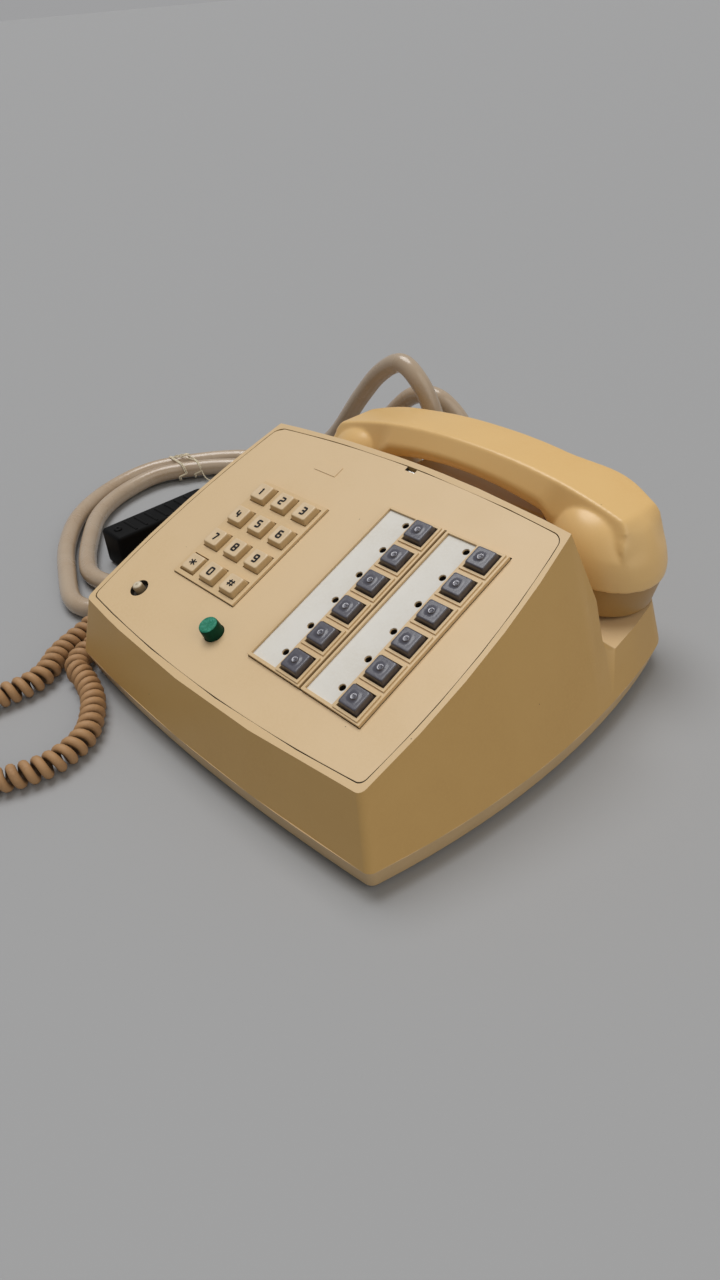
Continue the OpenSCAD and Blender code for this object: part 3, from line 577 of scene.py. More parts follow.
def revolve(name: str, profile: list[Pair], count: int) -> bpy.types.Mesh:
    """Turn a profile about Z. Ends on the axis close to a point.

    Args:
        name: the mesh's name.
        profile: radius and height of each row, in millimetres.
        count: how many steps round.

    Returns:
        The mesh, about the origin and in metres.
    """
    turn = np.arange(count) * 2 * math.pi / count
    points = []
    for radius, height in np.array(profile, float) * MM:
        points += [(radius * math.cos(a), radius * math.sin(a), height) for a in turn]
    return mesh_from(name, points, ring_faces(len(profile), count))


def placed(spot: object, degrees: float, axis: str) -> Matrix:
    """A placement at a spot in millimetres, turned about an axis."""
    return Matrix.Translation(Vector(spot) * MM) @ Matrix.Rotation(math.radians(degrees), 4, axis)


@dataclass(frozen=True)
class FaceFrame:
    """The sloped key face: u across, v up the slope, h out of it, all in millimetres."""

    front_y: float = -96.0
    rim_height: float = 46.0
    slope: float = 21.7

    def matrix(self, u: float = 0.0, v: float = 0.0, h: float = 0.0) -> Matrix:
        """The placement, in metres, of something made flat about the origin."""
        spot = self.point(u, v, h)
        return Matrix.Translation(spot) @ Matrix.Rotation(math.radians(self.slope), 4, "X")

    def way(self, u: float, v: float, h: float) -> Vector:
        """A direction given in the face, as one in the room."""
        return self.matrix().to_3x3() @ Vector((u, v, h))

    def point(self, u: float, v: float, h: float = 0.0) -> Vector:
        """A point of the face.

        Args:
            u: its place across the face.
            v: its place up the slope.
            h: its height over the face.

        Returns:
            The point, in metres.
        """
        a = math.radians(self.slope)
        y = self.front_y + v * math.cos(a) - h * math.sin(a)
        z = self.rim_height + v * math.sin(a) + h * math.cos(a)
        return Vector((u, y, z)) * MM


FACE = FaceFrame()


def catmull(points: np.ndarray, steps: int) -> np.ndarray:
    """A smooth curve through all the points.

    Args:
        points: the points, one a row.
        steps: how many steps between neighbours.

    Returns:
        The curve's points.
    """
    whole = np.vstack([2 * points[0] - points[1], points, 2 * points[-1] - points[-2]])
    rows = []
    for i in range(1, len(whole) - 2):
        a, b, c, d = whole[i - 1:i + 3]
        for t in np.linspace(0, 1, steps, endpoint=False):
            rows.append(0.5 * (2 * b + (c - a) * t + (2 * a - 5 * b + 4 * c - d) * t ** 2
                               + (3 * b - 3 * c + d - a) * t ** 3))
    rows.append(points[-1])
    return np.array(rows)


def run_of(points: np.ndarray) -> np.ndarray:
    """Distance along a curve to each of its points."""
    return np.concatenate([[0.0], np.cumsum(np.linalg.norm(np.diff(points, axis=0), axis=1))])


def at_run(points: np.ndarray, where: np.ndarray) -> np.ndarray:
    """Points of a curve at given distances along it."""
    run = run_of(points)
    return np.stack([np.interp(where, run, points[:, i]) for i in range(3)], 1)


def headings(points: np.ndarray) -> np.ndarray:
    """The direction of a curve at each of its points, of length 1."""
    ahead = np.gradient(points, axis=0)
    return ahead / np.maximum(np.linalg.norm(ahead, axis=1), 1e-9)[:, None]


def rounded_line(points: np.ndarray, cuts: list[float], steps: int = 4) -> np.ndarray:
    """Round the inner corners of a broken line.

    Args:
        points: the line's points.
        cuts: how far before and after each inner corner its rounding starts.
        steps: how many steps each rounding has.

    Returns:
        The points of the rounded line.
    """
    rows = [points[0]]
    for cut, before, here, after in zip(cuts, points[:-2], points[1:-1], points[2:]):
        a, b = before - here, after - here
        reach = min(cut, 0.45 * np.linalg.norm(a), 0.45 * np.linalg.norm(b))
        a, b = a / np.linalg.norm(a) * reach, b / np.linalg.norm(b) * reach
        for t in np.linspace(0.0, 1.0, steps + 1):
            rows.append(here + a * (1 - t) ** 2 + b * t ** 2)
    rows.append(points[-1])
    return np.array(rows)


def sweep_tree() -> bpy.types.NodeTree:
    """The tree that sweeps a round section along a curve, with its sizes as inputs.

    Returns:
        The geometry node tree.
    """
    if "Sweep" in bpy.data.node_groups:
        return bpy.data.node_groups["Sweep"]
    group = bpy.data.node_groups.new("Sweep", "GeometryNodeTree")
    for name, kind in (("Geometry", "Geometry"), ("Radius", "Float"), ("Sides", "Int"),
                       ("Finish", "Material")):
        group.interface.new_socket(name, in_out="INPUT", socket_type=f"NodeSocket{kind}")
    group.interface.new_socket("Geometry", in_out="OUTPUT", socket_type="NodeSocketGeometry")
    tree = Tree(group)
    given = tree.add("NodeGroupInput").outputs
    ring = tree.add("GeometryNodeCurvePrimitiveCircle", Radius=given["Radius"],
                    Resolution=given["Sides"]).outputs["Curve"]
    tube = tree.add("GeometryNodeCurveToMesh", Curve=given["Geometry"], Profile_Curve=ring,
                    Fill_Caps=True).outputs["Mesh"]
    real = tree.add("GeometryNodeRealizeInstances", Geometry=tube).outputs["Geometry"]
    dressed = tree.add("GeometryNodeSetMaterial", Geometry=real, Material=given["Finish"])
    tree.link(dressed.outputs["Geometry"], tree.add("NodeGroupOutput").inputs["Geometry"])
    return group


def swept(name: str, path: np.ndarray, radius: float, sides: int,
          finish: Finish) -> bpy.types.Object:
    """A round tube along a path, made by the sweep tree and turned into a plain mesh.

    Args:
        name: the piece's name.
        path: the points it follows, in metres.
        radius: the tube's radius.
        sides: how many sides it has.
        finish: its finish.

    Returns:
        The tube's object.
    """
    line = bpy.data.curves.new(name, "CURVE")
    line.dimensions = "3D"
    line.twist_mode = "MINIMUM"
    spline = line.splines.new("POLY")
    spline.points.add(len(path) - 1)
    spline.points.foreach_set("co", np.column_stack([path, np.ones(len(path))]).ravel())
    carrier = link_object(name, line)
    tree = sweep_tree()
    worker = carrier.modifiers.new("Sweep", "NODES")
    worker.node_group = tree
    values = {"Radius": radius, "Sides": sides, "Finish": finish.material()}
    for item in tree.interface.items_tree:
        if item.in_out == "INPUT" and item.name in values:
            worker[item.identifier] = values[item.name]
    made = baked(carrier, name)
    tidy_mesh(made.data, 1e-7)
    smooth_by_angle(made.data, 60.0)
    return made


@dataclass(frozen=True)
class BackCorners:
    """The two upright corners that a piece has at the back of the key face, in millimetres."""

    side: float = 88.0
    rows: Pair = (127.0, 133.5)
    depth: float = 8.0
    upright: float = 0.8
    turn: float = 0.7
    margin: float = 1.0
    reach: float = 5.0
    beside: float = 2.2
    level: float = 0.03
    segments: int = 6

    def spot(self, vert: bmesh.types.BMVert) -> Vector:
        """A point's place in the key face."""
        return (FACE.matrix().inverted() @ vert.co) / MM

    def edges(self, work: bmesh.types.BMesh) -> list[bmesh.types.BMEdge]:
        """Find the upright edges at both corners.

        Args:
            work: the piece's mesh.

        Returns:
            The edges.
        """
        found = []
        low, high = self.rows
        for edge in work.edges:
            a, b = self.spot(edge.verts[0]), self.spot(edge.verts[1])
            near = min(abs(a.x), abs(b.x)) > self.side and low < min(a.y, b.y)
            near = near and max(a.y, b.y) < high and min(a.z, b.z) > -self.depth
            steep = abs(a.z - b.z) > self.upright * (a - b).length
            if near and steep and edge.calc_face_angle(0.0) > self.turn:
                found.append(edge)
        return found

    def round(self, work: bmesh.types.BMesh, radius: float) -> None:
        """Round the corners, after what lies close beside them has been merged into them.

        Args:
            work: the piece's mesh.
            radius: radius of the corners.
        """
        ends = [vert for edge in self.edges(work) for vert in edge.verts]
        kept = {vert for vert in ends if ends.count(vert) == 1}
        merged = {}
        for vert in set(ends) - kept:
            close = [v for v in kept if (self.spot(v) - self.spot(vert)).length < self.reach]
            merged[vert] = max(close, key=lambda v: self.spot(v).z)
        for vert in work.verts:
            here = self.spot(vert)
            near = here.y > self.rows[0] - self.margin and abs(here.x) > self.side - self.margin
            for corner in kept if near and vert not in ends else ():
                gap = self.spot(corner) - here
                if abs(gap.z) < self.level and gap.length < self.beside:
                    merged[vert] = corner
        bmesh.ops.weld_verts(work, targetmap=merged)
        bmesh.ops.bevel(work, geom=self.edges(work), offset=radius * MM, offset_type="OFFSET",
                        segments=self.segments, profile=0.5, affect="EDGES", clamp_overlap=True)


def merge_flat(work: bmesh.types.BMesh, degrees: float) -> None:
    """Merge the faces of a mesh that turn by less than an angle."""
    bmesh.ops.dissolve_limit(work, angle_limit=math.radians(degrees), verts=work.verts,
                             edges=work.edges, delimit=set())


@dataclass(frozen=True)
class Rounding:
    """How a CAD node is rounded and dressed.

    Sizes are in millimetres and angles in degrees. Edges that turn by more than sharp are rounded
    over the width, and faces that turn by less than flat are merged. The corner is the radius of
    the corners at the back of the key face, and raised is how far the piece's top is lifted.
    """

    finish: Finish
    width: float
    sharp: float = SHARP
    flat: float = FLAT
    corner: float = 0.0
    raised: float = 0.0


def softened(node: str, how: Rounding) -> bpy.types.Object:
    """A copy of a CAD node with its edges rounded, which then stands for the node.

    Args:
        node: the CAD node's name.
        how: the rounding.

    Returns:
        The new piece.
    """
    mesh = node_object(node).data.copy()
    mesh.name = f"{node}_body"
    with editing(mesh) as work:
        bmesh.ops.remove_doubles(work, verts=work.verts, dist=2e-6)
        merge_flat(work, FLAT)
        bmesh.ops.dissolve_degenerate(work, edges=work.edges, dist=1e-5)
        if how.corner:
            BackCorners().round(work, how.corner)
        chosen = [e for e in work.edges if len(e.link_faces) == 2
                  and e.calc_face_angle(0.0) > math.radians(how.sharp)]
        bmesh.ops.bevel(work, geom=chosen, offset=how.width * MM, offset_type="OFFSET",
                        segments=3, profile=0.5, affect="EDGES", clamp_overlap=True,
                        harden_normals=False)
        bmesh.ops.remove_doubles(work, verts=work.verts, dist=1e-6)
        merge_flat(work, how.flat)
    source = place_object(f"{node}_source", mesh, how.finish)
    smooth_by_angle(mesh, CREASE)
    even = source.modifiers.new("even", "WEIGHTED_NORMAL")
    even.keep_sharp = True
    even.weight = FACE_WEIGHT
    return baked(source, f"{node}_body")


def darken_gaps(piece: bpy.types.Object, below: float) -> None:
    """Dress the walls of a flat piece that stand in its gaps with painted shade.

    Args:
        piece: a piece that lies in the key face.
        below: only what lies deeper than this under the face, in metres.
    """
    piece.data.materials.append(GAP_SHADE.material())
    normal, origin = FACE.way(0, 0, 1), FACE.point(0.0, 0.0)
    with editing(piece.data) as work:
        bmesh.ops.bisect_plane(work, geom=work.verts[:] + work.edges[:] + work.faces[:],
                               dist=1e-7, plane_co=origin - normal * below * 0.6,
                               plane_no=normal)
    for face in piece.data.polygons:
        deep = (face.center - origin).dot(normal) < -below
        if deep and face.normal.dot(normal) < WALL:
            face.material_index = 1


def node_object(node: str) -> bpy.types.Object:
    """Find the object that holds a CAD node.

    Args:
        node: the node's name.

    Returns:
        The object.
    """
    for thing in bpy.data.objects:
        if thing.type == "MESH" and thing.name.split(".")[0] == node:
            return thing
    raise KeyError(node)


def finish_piece(piece: bpy.types.Object, body: str, finish: Finish, *nodes: str) -> None:
    """Fasten a finished piece to its CAD body and hide the CAD nodes that it stands for.

    Args:
        piece: the finished piece.
        body: the CAD body that carries it.
        finish: its main finish; not used.
        nodes: the CAD nodes that it stands for.
    """
    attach(piece, body)
    if nodes:
        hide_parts(*nodes)
    LOG.info("%s: %d faces", piece.name, len(piece.data.polygons))


# ---------------------------------------------------------------- room


@dataclass
class Studio:
    """The camera, the floor and the lights."""

    place: Triple = (0.28459, -0.24490, 0.28136)
    azimuth: float = 50.168
    elevation: float = 35.294
    roll: float = -5.082
    focal: float = 920.8
    frame_height: float = 1280.0
    sensor: float = 36.0
    clip: Pair = (0.01, 1000.0)
    floor_size: float = 200.0
    floor_gray: Triple = (0.36, 0.365, 0.375)
    sky: Triple = (1.0, 0.985, 0.96)
    sky_strength: float = 0.25
    horizon: Triple = (0.345, 0.345, 0.35)

    def camera(self) -> None:
        """Place the camera."""
        az, el, tilt = (math.radians(a) for a in (self.azimuth, self.elevation, self.roll))
        back = Vector((math.sin(az) * math.cos(el), -math.cos(az) * math.cos(el), math.sin(el)))
        across = Vector((math.cos(az), math.sin(az), 0.0))
        up = back.cross(across)
        right = across * math.cos(tilt) + up * math.sin(tilt)
        top = up * math.cos(tilt) - across * math.sin(tilt)
        lens = bpy.data.cameras.new("camera")
        lens.sensor_fit = "VERTICAL"
        lens.sensor_height = self.sensor
        lens.lens = self.focal / self.frame_height * self.sensor
        lens.clip_start, lens.clip_end = self.clip
        made = link_object("camera", lens)
        turn = Matrix((right, top, back)).transposed().to_4x4()
        made.matrix_world = Matrix.Translation(Vector(self.place)) @ turn
        bpy.context.scene.camera = made

    def floor(self) -> None:
        """Lay the floor, which isn't part of the telephone."""
        half = self.floor_size / 2
        corners = [(-half, -half, 0), (half, -half, 0), (half, half, 0), (-half, half, 0)]
        made = place_object("floor", mesh_from("floor", corners, [(0, 1, 2, 3)]))
        ground = bpy.data.materials.new("floor_gray")
        ground.use_nodes = True
        shader = Tree(ground.node_tree)
        shader.surface("ShaderNodeOutputMaterial", shader.add(
            "ShaderNodeBsdfPrincipled", Base_Color=self.floor_gray, Roughness=0.75,
            Specular_IOR_Level=0.25))
        made.data.materials.append(ground)

    def lamp(self, name: str, place: Triple, spread: float,
             strength: float, color: Triple) -> None:
        """Hang a far, wide lamp whose light is even over the whole floor.

        Args:
            name: the lamp's name.
            place: the direction it stands in.
            spread: how wide it looks, in degrees.
            strength: its strength.
            color: its colour.
        """
        light = bpy.data.lights.new(name, "SUN")
        light.angle = math.radians(spread)
        light.energy = strength
        light.color = color
        turn = (-Vector(place)).to_track_quat("-Z", "Y").to_matrix().to_4x4()
        link_object(name, light).matrix_world = Matrix.Translation(Vector(place)) @ turn

    def surroundings(self) -> None:
        """Light the room from all sides, and show an even gray where the floor ends."""
        world = bpy.data.worlds.new("room")
        bpy.context.scene.world = world
        world.use_nodes = True
        shader = Tree(world.node_tree)
        ray = shader.add("ShaderNodeLightPath").outputs
        seeing = ray["Is Camera Ray"]
        for kind in ("Is Glossy Ray", "Is Transmission Ray"):
            seeing = shader.math("MAXIMUM", seeing, ray[kind])
        blend = shader.add("ShaderNodeMixShader", Fac=seeing)
        sky = shader.add("ShaderNodeBackground", Color=self.sky, Strength=self.sky_strength)
        seen = shader.add("ShaderNodeBackground", Color=self.horizon)
        for index, node in ((1, sky), (2, seen)):
            shader.link(node.outputs[0], blend.inputs[index])
        shader.surface("ShaderNodeOutputWorld", blend)

    def build(self) -> None:
        """Set up the whole room."""
        self.camera()
        self.floor()
        self.lamp("overhead_lamp", place=(-0.45, 0.12, 1.5), spread=40.0, strength=1.86,
                  color=(1.0, 1.0, 1.0))
        self.lamp("side_lamp", place=(1.4, 0.1, 0.9), spread=60.0, strength=0.78,
                  color=(1.0, 0.94, 0.84))
        self.surroundings()
        bpy.context.scene.view_settings.view_transform = "Standard"


# ---------------------------------------------------------------- cords


@dataclass
class HandsetCord:
    """The curled cord, from the handset's mouth end to the left wall of the case."""

    wire: float = 4.6
    over_all: float = 12.6
    curls: int = 92
    per_curl: int = 16
    sides: int = 10
    tail_wires: float = 3.0
    tilt: float = 10.0
    cup: Triple = (-78.3, 80.6, 56.228)
    relief_tip: float = 38.6
    relief_height: float = 8.2
    case_tip: Triple = (-124.0, -56.0, 22.0)
    gap: float = 0.3
    route: tuple[Triple, ...] = (
        (-125, 80.6, 56), (-134.5, 79, 51), (-140, 75, 40), (-140, 69, 24), (-136, 59, 11.5),
        (-129.5, 44, 7), (-125.5, 25, 6.5), (-125, 0, 6.5), (-124.5, -30, 6.5),
        (-122, -60, 6.5), (-118, -86, 6.5), (-113.5, -102, 6.5), (-105, -110.5, 6.5),
        (-94, -112, 6.5), (-74.5, -118, 6.5), (-55, -132.5, 6.5), (-48.5, -150, 6.5),
        (-50.5, -164, 6.5), (-57, -178, 6.5), (-68, -193, 6.5), (-84, -202, 6.5),
        (-101, -198, 6.5), (-112, -184, 6.5), (-115, -166, 6.5), (-113.5, -149, 6.5),
        (-111.5, -135, 6.5), (-114.5, -123, 6.5), (-123, -112, 6.5), (-129, -99.5, 6.5),
        (-133, -86, 7.5), (-135.5, -75, 12), (-136, -66, 17.5), (-133, -59, 21),
        (-128.8, -56.5, 22))

    def start(self) -> np.ndarray:
        """Find where the cord leaves the handset's relief.

        Returns:
            The point in millimetres.
        """
        a = math.radians(self.tilt)
        x, y, z = self.cup
        out = self.relief_tip + self.gap
        return np.array([x - out * math.cos(a) - self.relief_height * math.sin(a), y,
                         z - out * math.sin(a) + self.relief_height * math.cos(a)])

    @cached_property
    def axis(self) -> np.ndarray:
        """The curve that the curls wind about, in millimetres."""
        end = np.array(self.case_tip) - np.array([self.gap, 0.0, 0.0])
        return catmull(np.vstack([self.start(), np.array(self.route, float), end]), 8)

    def wire_path(self) -> np.ndarray:
        """Wind the wire about the axis.

        Returns:
            The wire's centre line in millimetres.
        """
        whole = run_of(self.axis)[-1]
        tail = self.tail_wires * self.wire
        steps = self.curls * self.per_curl
        k = np.arange(-2, steps + 3)
        where = np.clip(tail + (whole - 2 * tail) * k / steps, 0, whole)
        where[[0, 1]] = 0.0, self.wire
        where[[-2, -1]] = whole - self.wire, whole
        fine = at_run(self.axis, where)
        ahead = headings(fine)
        side = np.zeros_like(fine)
        last = np.array([0.0, 1.0, 0.0])
        for i, t in enumerate(ahead):
            last = last - last.dot(t) * t
            last /= np.linalg.norm(last)
            side[i] = last
        other = np.cross(ahead, side)
        spare = np.minimum(k, steps - k) / self.per_curl
        radius = (self.over_all - self.wire) / 2 * np.clip(spare, 0, 1)
        turn = 2 * math.pi * k / self.per_curl
        return fine + radius[:, None] * (np.cos(turn)[:, None] * side
                                         + np.sin(turn)[:, None] * other)

    def shade_creases(self, piece: bpy.types.Object) -> None:
        """Write how deep inside the curls each point lies, which sets how much painted shade the
        cord takes there.

        Args:
            piece: the cord.
        """
        axis = at_run(self.axis, np.arange(0, run_of(self.axis)[-1], 1.0))
        tree = kdtree.KDTree(len(axis))
        for i, p in enumerate(axis):
            tree.insert(Vector(p) * MM, i)
        tree.balance()
        layer = piece.data.attributes.new("crease", "FLOAT", "POINT")
        outer, inner = self.over_all / 2 - 1.0, self.over_all / 2 - self.wire * 0.75
        for i, point in enumerate(piece.data.vertices):
            away = tree.find(point.co)[2] / MM
            t = min(1.0, max(0.0, (outer - away) / (outer - inner)))
            layer.data[i].value = 0.85 * t * t * (3 - 2 * t)

    def build(self) -> None:
        """Make the cord and its two reliefs."""
        path = self.wire_path() * MM
        piece = swept("handset_cord", path, self.wire / 2 * MM, self.sides, CORD)
        self.shade_creases(piece)
        reliefs = [
            Relief("handset_relief", self.wire / 2 + 0.5, foot_radius=4.0, length=13.4).build(
                placed(self.start() + [0.25, 0, 0.05], 90 - self.tilt, "Y"),
                "handset", "handset_cord_relief"),
            Relief("case_relief", self.wire / 2 + 0.5, foot_radius=5.2, length=19.0).build(
                placed(self.case_tip, 90, "Y"), "root", "case_cord_relief")]
        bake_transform(piece)
        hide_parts("curly_cord")
        LOG.info("handset_cord: %.2f m of wire, %d faces", run_of(path)[-1],
                 len(piece.data.polygons))


@dataclass
class Relief:
    """A tapered, ringed sleeve where a cord leaves a wall; its tip is at the origin."""

    name: str
    tip_radius: float
    foot_radius: float
    length: float
    groove: float = 0.35
    rings: int = 4

    def profile(self) -> list[Pair]:
        """The sleeve's form, with grooves in its outer half.

        Returns:
            Radius and height of each row.
        """
        rows = [(0.0, 0.0), (self.tip_radius - 0.5, 0.0), (self.tip_radius, 0.5)]
        taper = min(self.length, 11.0)
        step = (taper - 2.0) / self.rings
        for i in range(self.rings):
            low = 1.2 + i * step
            for part, cut in ((0.0, 0.0), (0.12, 1.0), (0.42, 1.0), (0.54, 0.0)):
                at = low + part * step
                full = self.tip_radius + (self.foot_radius - self.tip_radius) * at / taper
                rows.append((full - cut * self.groove, at))
        return rows + [(self.foot_radius, taper), (self.foot_radius, self.length),
                       (0.0, self.length)]

    def build(self, place: Matrix, body: str, node: str) -> bpy.types.Object:
        """Make the sleeve.

        Args:
            place: where its tip is and which way its foot lies.
            body: the CAD body it rides on.
            node: the CAD node it stands for.

        Returns:
            The sleeve.
        """
        mesh = revolve(self.name, self.profile(), 40)
        mesh.transform(place)
        tidy_mesh(mesh, 1e-6)
        finish = CABLE if node == "cable_gland" else CASE
        made = place_object(self.name, mesh, finish)
        smooth_by_angle(mesh, 40.0)
        finish_piece(made, body, finish, node)
        return made


@dataclass
class LineCable:
    """The thick cable: two loops beside the telephone, its gland, its tie and its connector."""

    diameter: float = 11.0
    sides: int = 24
    gland: Triple = (-30.0, 120.0, 23.0)
    route: tuple[Triple, ...] = (
        (-30, 120.5, 23), (-30, 129, 23), (-33, 141, 24), (-45, 151, 28), (-60, 154, 38),
        (-71, 153, 52), (-80, 150, 66), (-92, 146, 75), (-108, 142, 73), (-124, 137, 58),
        (-141, 132, 38), (-164, 127, 19), (-194, 122, 8.5), (-226, 116, 5.7), (-250, 103, 6.2),
        (-268, 78, 7.5), (-283, 46, 7.5), (-280, 10, 6.2), (-262, -23, 5.7), (-231, -49, 5.7),
        (-197, -67, 5.7), (-169, -78.5, 5.7), (-152.5, -76.5, 5.7), (-144, -66, 5.7),
        (-142, -50, 5.7), (-142, -20, 5.7), (-142, 15, 5.7), (-145, 38, 5.7), (-151, 58, 5.7),
        (-151, 80, 5.7), (-143, 101, 5.7), (-126, 118, 5.7), (-106, 129, 7), (-88, 133, 16),
        (-75, 131, 34), (-68, 125, 57), (-70, 120, 80), (-78, 118, 96), (-92, 118, 103.5),
        (-110, 118, 94), (-129, 118, 75), (-157, 116, 42), (-188, 111, 20), (-216, 104, 8),
        (-240, 92, 6.2), (-256, 72, 7.5), (-270.5, 45, 7.5), (-267.5, 13, 6.2),
        (-251.5, -14.5, 5.7), (-223.5, -37, 5.7), (-199, -52, 5.7), (-183, -57, 5.7),
        (-167, -54, 5.7), (-157, -43, 6), (-153.8, -29, 7.5), (-155.5, -15, 10),
        (-163, -5, 12), (-177.7, -2, 12))

    def build(self) -> None:
        """Make the cable and what is on it."""
        path = catmull(np.array(self.route, float), 8) * MM
        piece = swept("cable_sheath_tube", path, self.diameter / 2 * MM, self.sides, CABLE)
        gland = Relief("cable_sleeve", self.diameter / 2 + 0.8, foot_radius=7.6, length=19.0).build(
            placed(self.gland, 90, "X"), "root", "cable_gland")
        others = [gland, Connector().build(), TieString().build()]
        finish_piece(piece, "root", CABLE, "line_cable")


@dataclass
class Connector:
    """The black hood at the cable's end, with its contact block, screws and ribs."""

    size: Triple = (24.0, 74.0, 24.0)
    corner: Triple = (-204.0, -38.0, 0.2)
    entry: Triple = (-178.0, -2.0, 12.0)
    ribs: int = 7

    def block(self, low: Triple, high: Triple, round_by: float) -> bpy.types.Mesh:
        """A block with rounded edges between two corners, in millimetres.

        Args:
            low: its lowest corner.
            high: its highest corner.
            round_by: radius of its edges.

        Returns:
            The block.
        """
        mesh = bpy.data.meshes.new("block")
        with editing(mesh) as work:
            bmesh.ops.create_cube(work, size=1.0)
            for vert in work.verts:
                for i in range(3):
                    vert.co[i] = (low[i] + (vert.co[i] + 0.5) * (high[i] - low[i])) * MM
            bmesh.ops.bevel(work, geom=work.edges[:], offset=round_by * MM, segments=3,
                            profile=0.5, affect="EDGES", clamp_overlap=True)
            bmesh.ops.recalc_face_normals(work, faces=work.faces)
        return mesh

    def build(self) -> bpy.types.Object:
        """Make the connector as one piece.

        Returns:
            The connector.
        """
        x, y, z = self.corner
        w, l, h = self.size
        meshes = [self.block((x + 3, y + 0.6, z + 0.5), (x + w, y + l - 0.6, z + h - 0.5), 2.4),
                  self.block((x, y + 5, z + 5), (x + 6, y + l - 5, z + h - 5), 1.0)]
        step = (l - 30) / (self.ribs - 1)
        for i in range(self.ribs):
            low = y + 14 + i * step
            meshes.append(self.block((x + 7, low, z + 0.8), (x + w - 2, low + 2.0, z + h), 0.6))
        collar = revolve("collar", [(0, -3), (7.0, -3), (7.0, 1.4), (6.4, 2.0), (5.7, 2.0),
                                    (0, 1.8)], 40)
        collar.transform(placed(self.entry, 90, "Y") @ Matrix.Translation((0, 0, -2.2 * MM)))
        meshes.append(collar)
        for along in (7.0, l - 7.0):
            screw = revolve("screw", [(0, 0), (2.6, 0), (2.6, 0.7), (2.1, 1.1), (0.8, 1.2),
                                      (0.7, 0.6), (0, 0.6)], 24)
            screw.transform(placed((x + w / 2 + 1, y + along, z + h - 0.7), 0, "Z"))
            meshes.append(screw)
        whole = joined("cable_connector", meshes)
        made = place_object("cable_connector", whole, BLACK)
        smooth_by_angle(whole, 40.0)
        finish_piece(made, "root", BLACK, "line_connector")
        return made


@dataclass
class TieString:
    """A twisted thread wound round both strands of the cable, knotted, with two loose ends."""

    middle: Triple = (-267.5, 66.0, 7.5)
    heading: float = 64.0
    spacing: float = 13.4
    cable: float = 11.0
    thread: float = 0.85
    turns: int = 4
    spread: float = 10.5
    slant: float = 0.35
    per_turn: int = 40
    step: float = 0.35
    twist: float = 3.2

    def ring_point(self, share: float) -> Pair:
        """A point of the line round both strands.

        Args:
            share: how much of the whole way round it lies.

        Returns:
            How far it lies across the strands, and its height.
        """
        r = self.cable / 2 + self.thread / 2 + 0.25
        flat, arc = self.spacing, math.pi * r
        s = (share % 1.0) * (2 * flat + 2 * arc)
        if s < flat:
            return flat / 2 - s, r
        if s < flat + arc:
            a = math.pi / 2 + (s - flat) / r
            return -flat / 2 + r * math.cos(a), r * math.sin(a)
        if s < 2 * flat + arc:
            return -flat / 2 + (s - flat - arc), -r
        a = -math.pi / 2 + (s - 2 * flat - arc) / r
        return flat / 2 + r * math.cos(a), r * math.sin(a)

    def path(self) -> np.ndarray:
        """The thread's centre line.

        Returns:
            Its points, in the tie's own millimetres.
        """
        rows = [(-7.0, 9.0, -6.3), (-7.5, 12.5, -4.0), (-6.6, 8.5, 3.0), (-4.0, 5.0, 6.1)]
        count = self.per_turn * self.turns
        wobble = np.random.default_rng(SEED)
        lift = wobble.uniform(-0.25, 0.25, self.turns + 2)
        for i in range(count + 1):
            share = i / self.per_turn
            across, high = self.ring_point(share)
            along = float(np.interp(share, [0, 1.8, 2.2, 4],
                                    self.spread * np.array([-0.62, -0.45, 0.45, 0.6])))
            rows.append((along + lift[int(share)] * (share % 1.0) - self.slant * across
                         * (high > 0), across, high))
        rows += [(4.6, 4.0, 7.0), (1.2, 1.8, 7.7), (-2.4, 0.6, 7.5), (-4.2, 2.2, 7.1),
                 (-1.2, 4.0, 7.7), (2.6, 1.4, 7.8), (6.8, -4.0, 6.4), (9.4, -10.5, 3.4),
                 (11.0, -15.4, -3.2), (14.8, -18.6, -6.4), (21.0, -19.4, -6.7)]
        return catmull(np.array(rows, float), 4)

    def build(self) -> bpy.types.Object:
        """Make the tie as two plies twisted together.

        Returns:
            The tie.
        """
        path = self.path()
        even = at_run(path, np.arange(0, run_of(path)[-1], self.step))
        turn = (Matrix.Translation(Vector(self.middle))
                @ Matrix.Rotation(math.radians(self.heading), 4, "Z"))
        ahead = headings(even)
        side = np.cross(ahead, [0.31, 0.22, 0.92])
        side /= np.linalg.norm(side, axis=1)[:, None]
        other = np.cross(ahead, side)
        spin = np.arange(len(even)) * self.step * 2 * math.pi / self.twist
        plies = []
        for ply in (0.0, math.pi):
            offset = (np.cos(spin + ply)[:, None] * side + np.sin(spin + ply)[:, None] * other)
            line = even + offset * self.thread * 0.23
            line = np.array([turn @ Vector(p) for p in line]) * MM
            line[:, 2] = np.maximum(line[:, 2], 0.27 * self.thread * MM + 0.0002)
            plies.append(swept("ply", line, self.thread * 0.29 * MM, 7, THREAD).data)
        mesh = joined("tie_thread", plies)
        made = place_object("tie_thread", mesh, THREAD)
        smooth_by_angle(mesh, 60.0)
        finish_piece(made, "root", THREAD, "cable_tie_string")
        return made


# ---------------------------------------------------------------- keys


def soft_ring(width: float, radius: float, height: float) -> list[Triple]:
    """A ring of points round a square with rounded corners, all about the origin.

    Args:
        width: the square's width; twice the radius gives a circle.
        radius: its corners' radius.
        height: the ring's height.

    Returns:
        The points.
    """
    points = []
    each = RING_POINTS // 4
    for q, (cx, cy) in enumerate(((1, 1), (-1, 1), (-1, -1), (1, -1))):
        for k in range(each):
            a = math.pi / 2 * (q + (k + 0.5) / each)
            points.append((cx * (width / 2 - radius) + radius * math.cos(a),
                           cy * (width / 2 - radius) + radius * math.sin(a), height))
    return points


